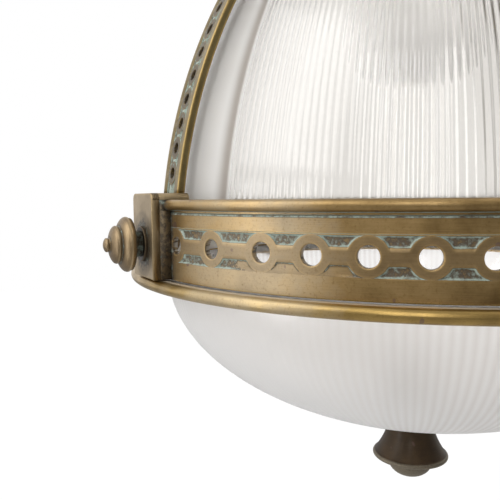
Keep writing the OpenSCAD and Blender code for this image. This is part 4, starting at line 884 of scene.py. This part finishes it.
# Finial: dark turned brass that closes the bowl's bore, with a thin washer above it. Its flare has browned in the
# heat, and its underside is rubbed and greyer.
finial_z, finial_neck_r, finial_neck_h, foot_h, finial_r, finial_edge, tip_h = -118.7, 15, 27, 8, 24.2, 1.5, 15.4
nose_r, nose_h, under_r = 14, 9.5, 21.8
cup_in, cup_r, cup_foot, cup_top = 4.4, 19.5, -118.6, -116.6
rim_z = finial_z - finial_neck_h
u = np.linspace(0, 1, 20)
flare_r = finial_neck_r + (finial_r - finial_edge - finial_neck_r) * u**1.6
flare = np.stack([flare_r, finial_z - foot_h - (finial_neck_h - foot_h - 1) * u, 0 * u], 1)
edge = arc_points((finial_r - finial_edge, rim_z - 0.6), finial_edge, 60, -50, 8)
v = np.radians(np.linspace(4, 90, 14))
hollow_z, nose_z = rim_z - 1.8, rim_z - tip_h + nose_h
under = np.stack([under_r - (under_r - nose_r) * np.sin(v), hollow_z - (hollow_z - nose_z) * (1 - np.cos(v)), 0 * v], 1)
nose = np.stack([nose_r * np.cos(v), nose_z - nose_h * np.sin(v), 0 * v], 1)
line = [(0, finial_z, 0), (finial_neck_r, finial_z, 0.5)]
finial_rows = eased(line + flare.tolist() + edge + under.tolist() + nose.tolist())

# The underside starts at the rim, and is only a little dirty.
underneath = finial_rows[:, 1] < rim_z + 0.9
finial_rows[:, 2] = np.maximum(finial_rows[:, 2], 0.85 * underneath)
finial_rows[:, 3] = 0.08 * underneath
cup_rows = eased([(cup_in, cup_foot, 0), (cup_r, cup_foot, 0.4), (cup_r, cup_top, 0.4), (cup_in, cup_top, 0)])

# Dark brown brass, rough, with fine lathe lines.
finial_brass = aged_brass("dark_turned_brass", "#4E3C28", "#A69D8A", "#3C3024", 0.6, 1.0, 0.05, turned=0.3)
fit(shell("drop_finial", [turned_shape(finial_rows)]), finial_brass, "finial_drop", "turned_brass", "finial")
fit(shell("finial_cup_washer", [turned_shape(cup_rows)]), finial_brass, "finial_cup", "turned_brass", "finial_washer")


# Small parts that keep their solids: ledge, felts, hanger, lampholder, hinge, clips, screws and nuts. Each takes the
# finish of its slot, and those that show through the gallery's holes are enamelled white.
def felt_cloth(name, tint):
    """Pressed wool felt: matt, with a fibrous skin of about 1.5 mm, dark by half between the fibres."""
    material, tree = new_material(name)
    obj = add(tree, "TexCoord", output="Object")
    fibre = add(tree, "TexNoise", {"Vector": obj, "Scale": 1000 / 1.5, "Detail": 6, "Roughness": 0.8})
    dark = tuple(0.5 * c for c in linear(tint)[:3]) + (1.0,)
    colour = add(tree, "Mix", {0: fibre, 6: dark, 7: linear(tint)}, data_type="RGBA", output=2)
    bump = add(tree, "Bump", {"Height": fibre, "Strength": 0.7, "Distance": 0.3 * MM})
    shader = add(tree, "BsdfPrincipled", {"Base Color": colour, "Roughness": 0.95, "Normal": bump, "Sheen Weight": 0.3})
    add(tree, "OutputMaterial", {"Surface": shader})
    return material


painted = ("dome_ledge", "finial_plate", "finial_stud_nut")
white_enamel = glazed("white_enamel", enamel_white, 0.3, 0.05)
finishes = {
    "cast_brass": cast_brass,
    "spun_brass": spun_brass,
    "turned_brass": turned_brass,
    "felt": felt_cloth("white_wool_felt", "#E4DFD6"),
    "porcelain": glazed("glazed_porcelain", "#EAE4D6", 0.12, 0.05, coat=0.4),
    "steel": aged_brass("dull_plated_steel", "#96948E", "#C4C2BC", "#6F6A60", 0.38, 0.9, 0.04),
    "bulb_base": aged_brass("nickelled_brass_cap", "#B4AFA2", "#D8D4C8", "#8A8476", 0.3, 0.9, 0.04),
}
for part in frame["record"]["subparts"]:
    node = frame["nodes"][part["node"]]
    if not node.hide_render:
        node.data.materials.clear()
        node.data.materials.append(white_enamel if part["node"] in painted else finishes[part["material_slot"]])
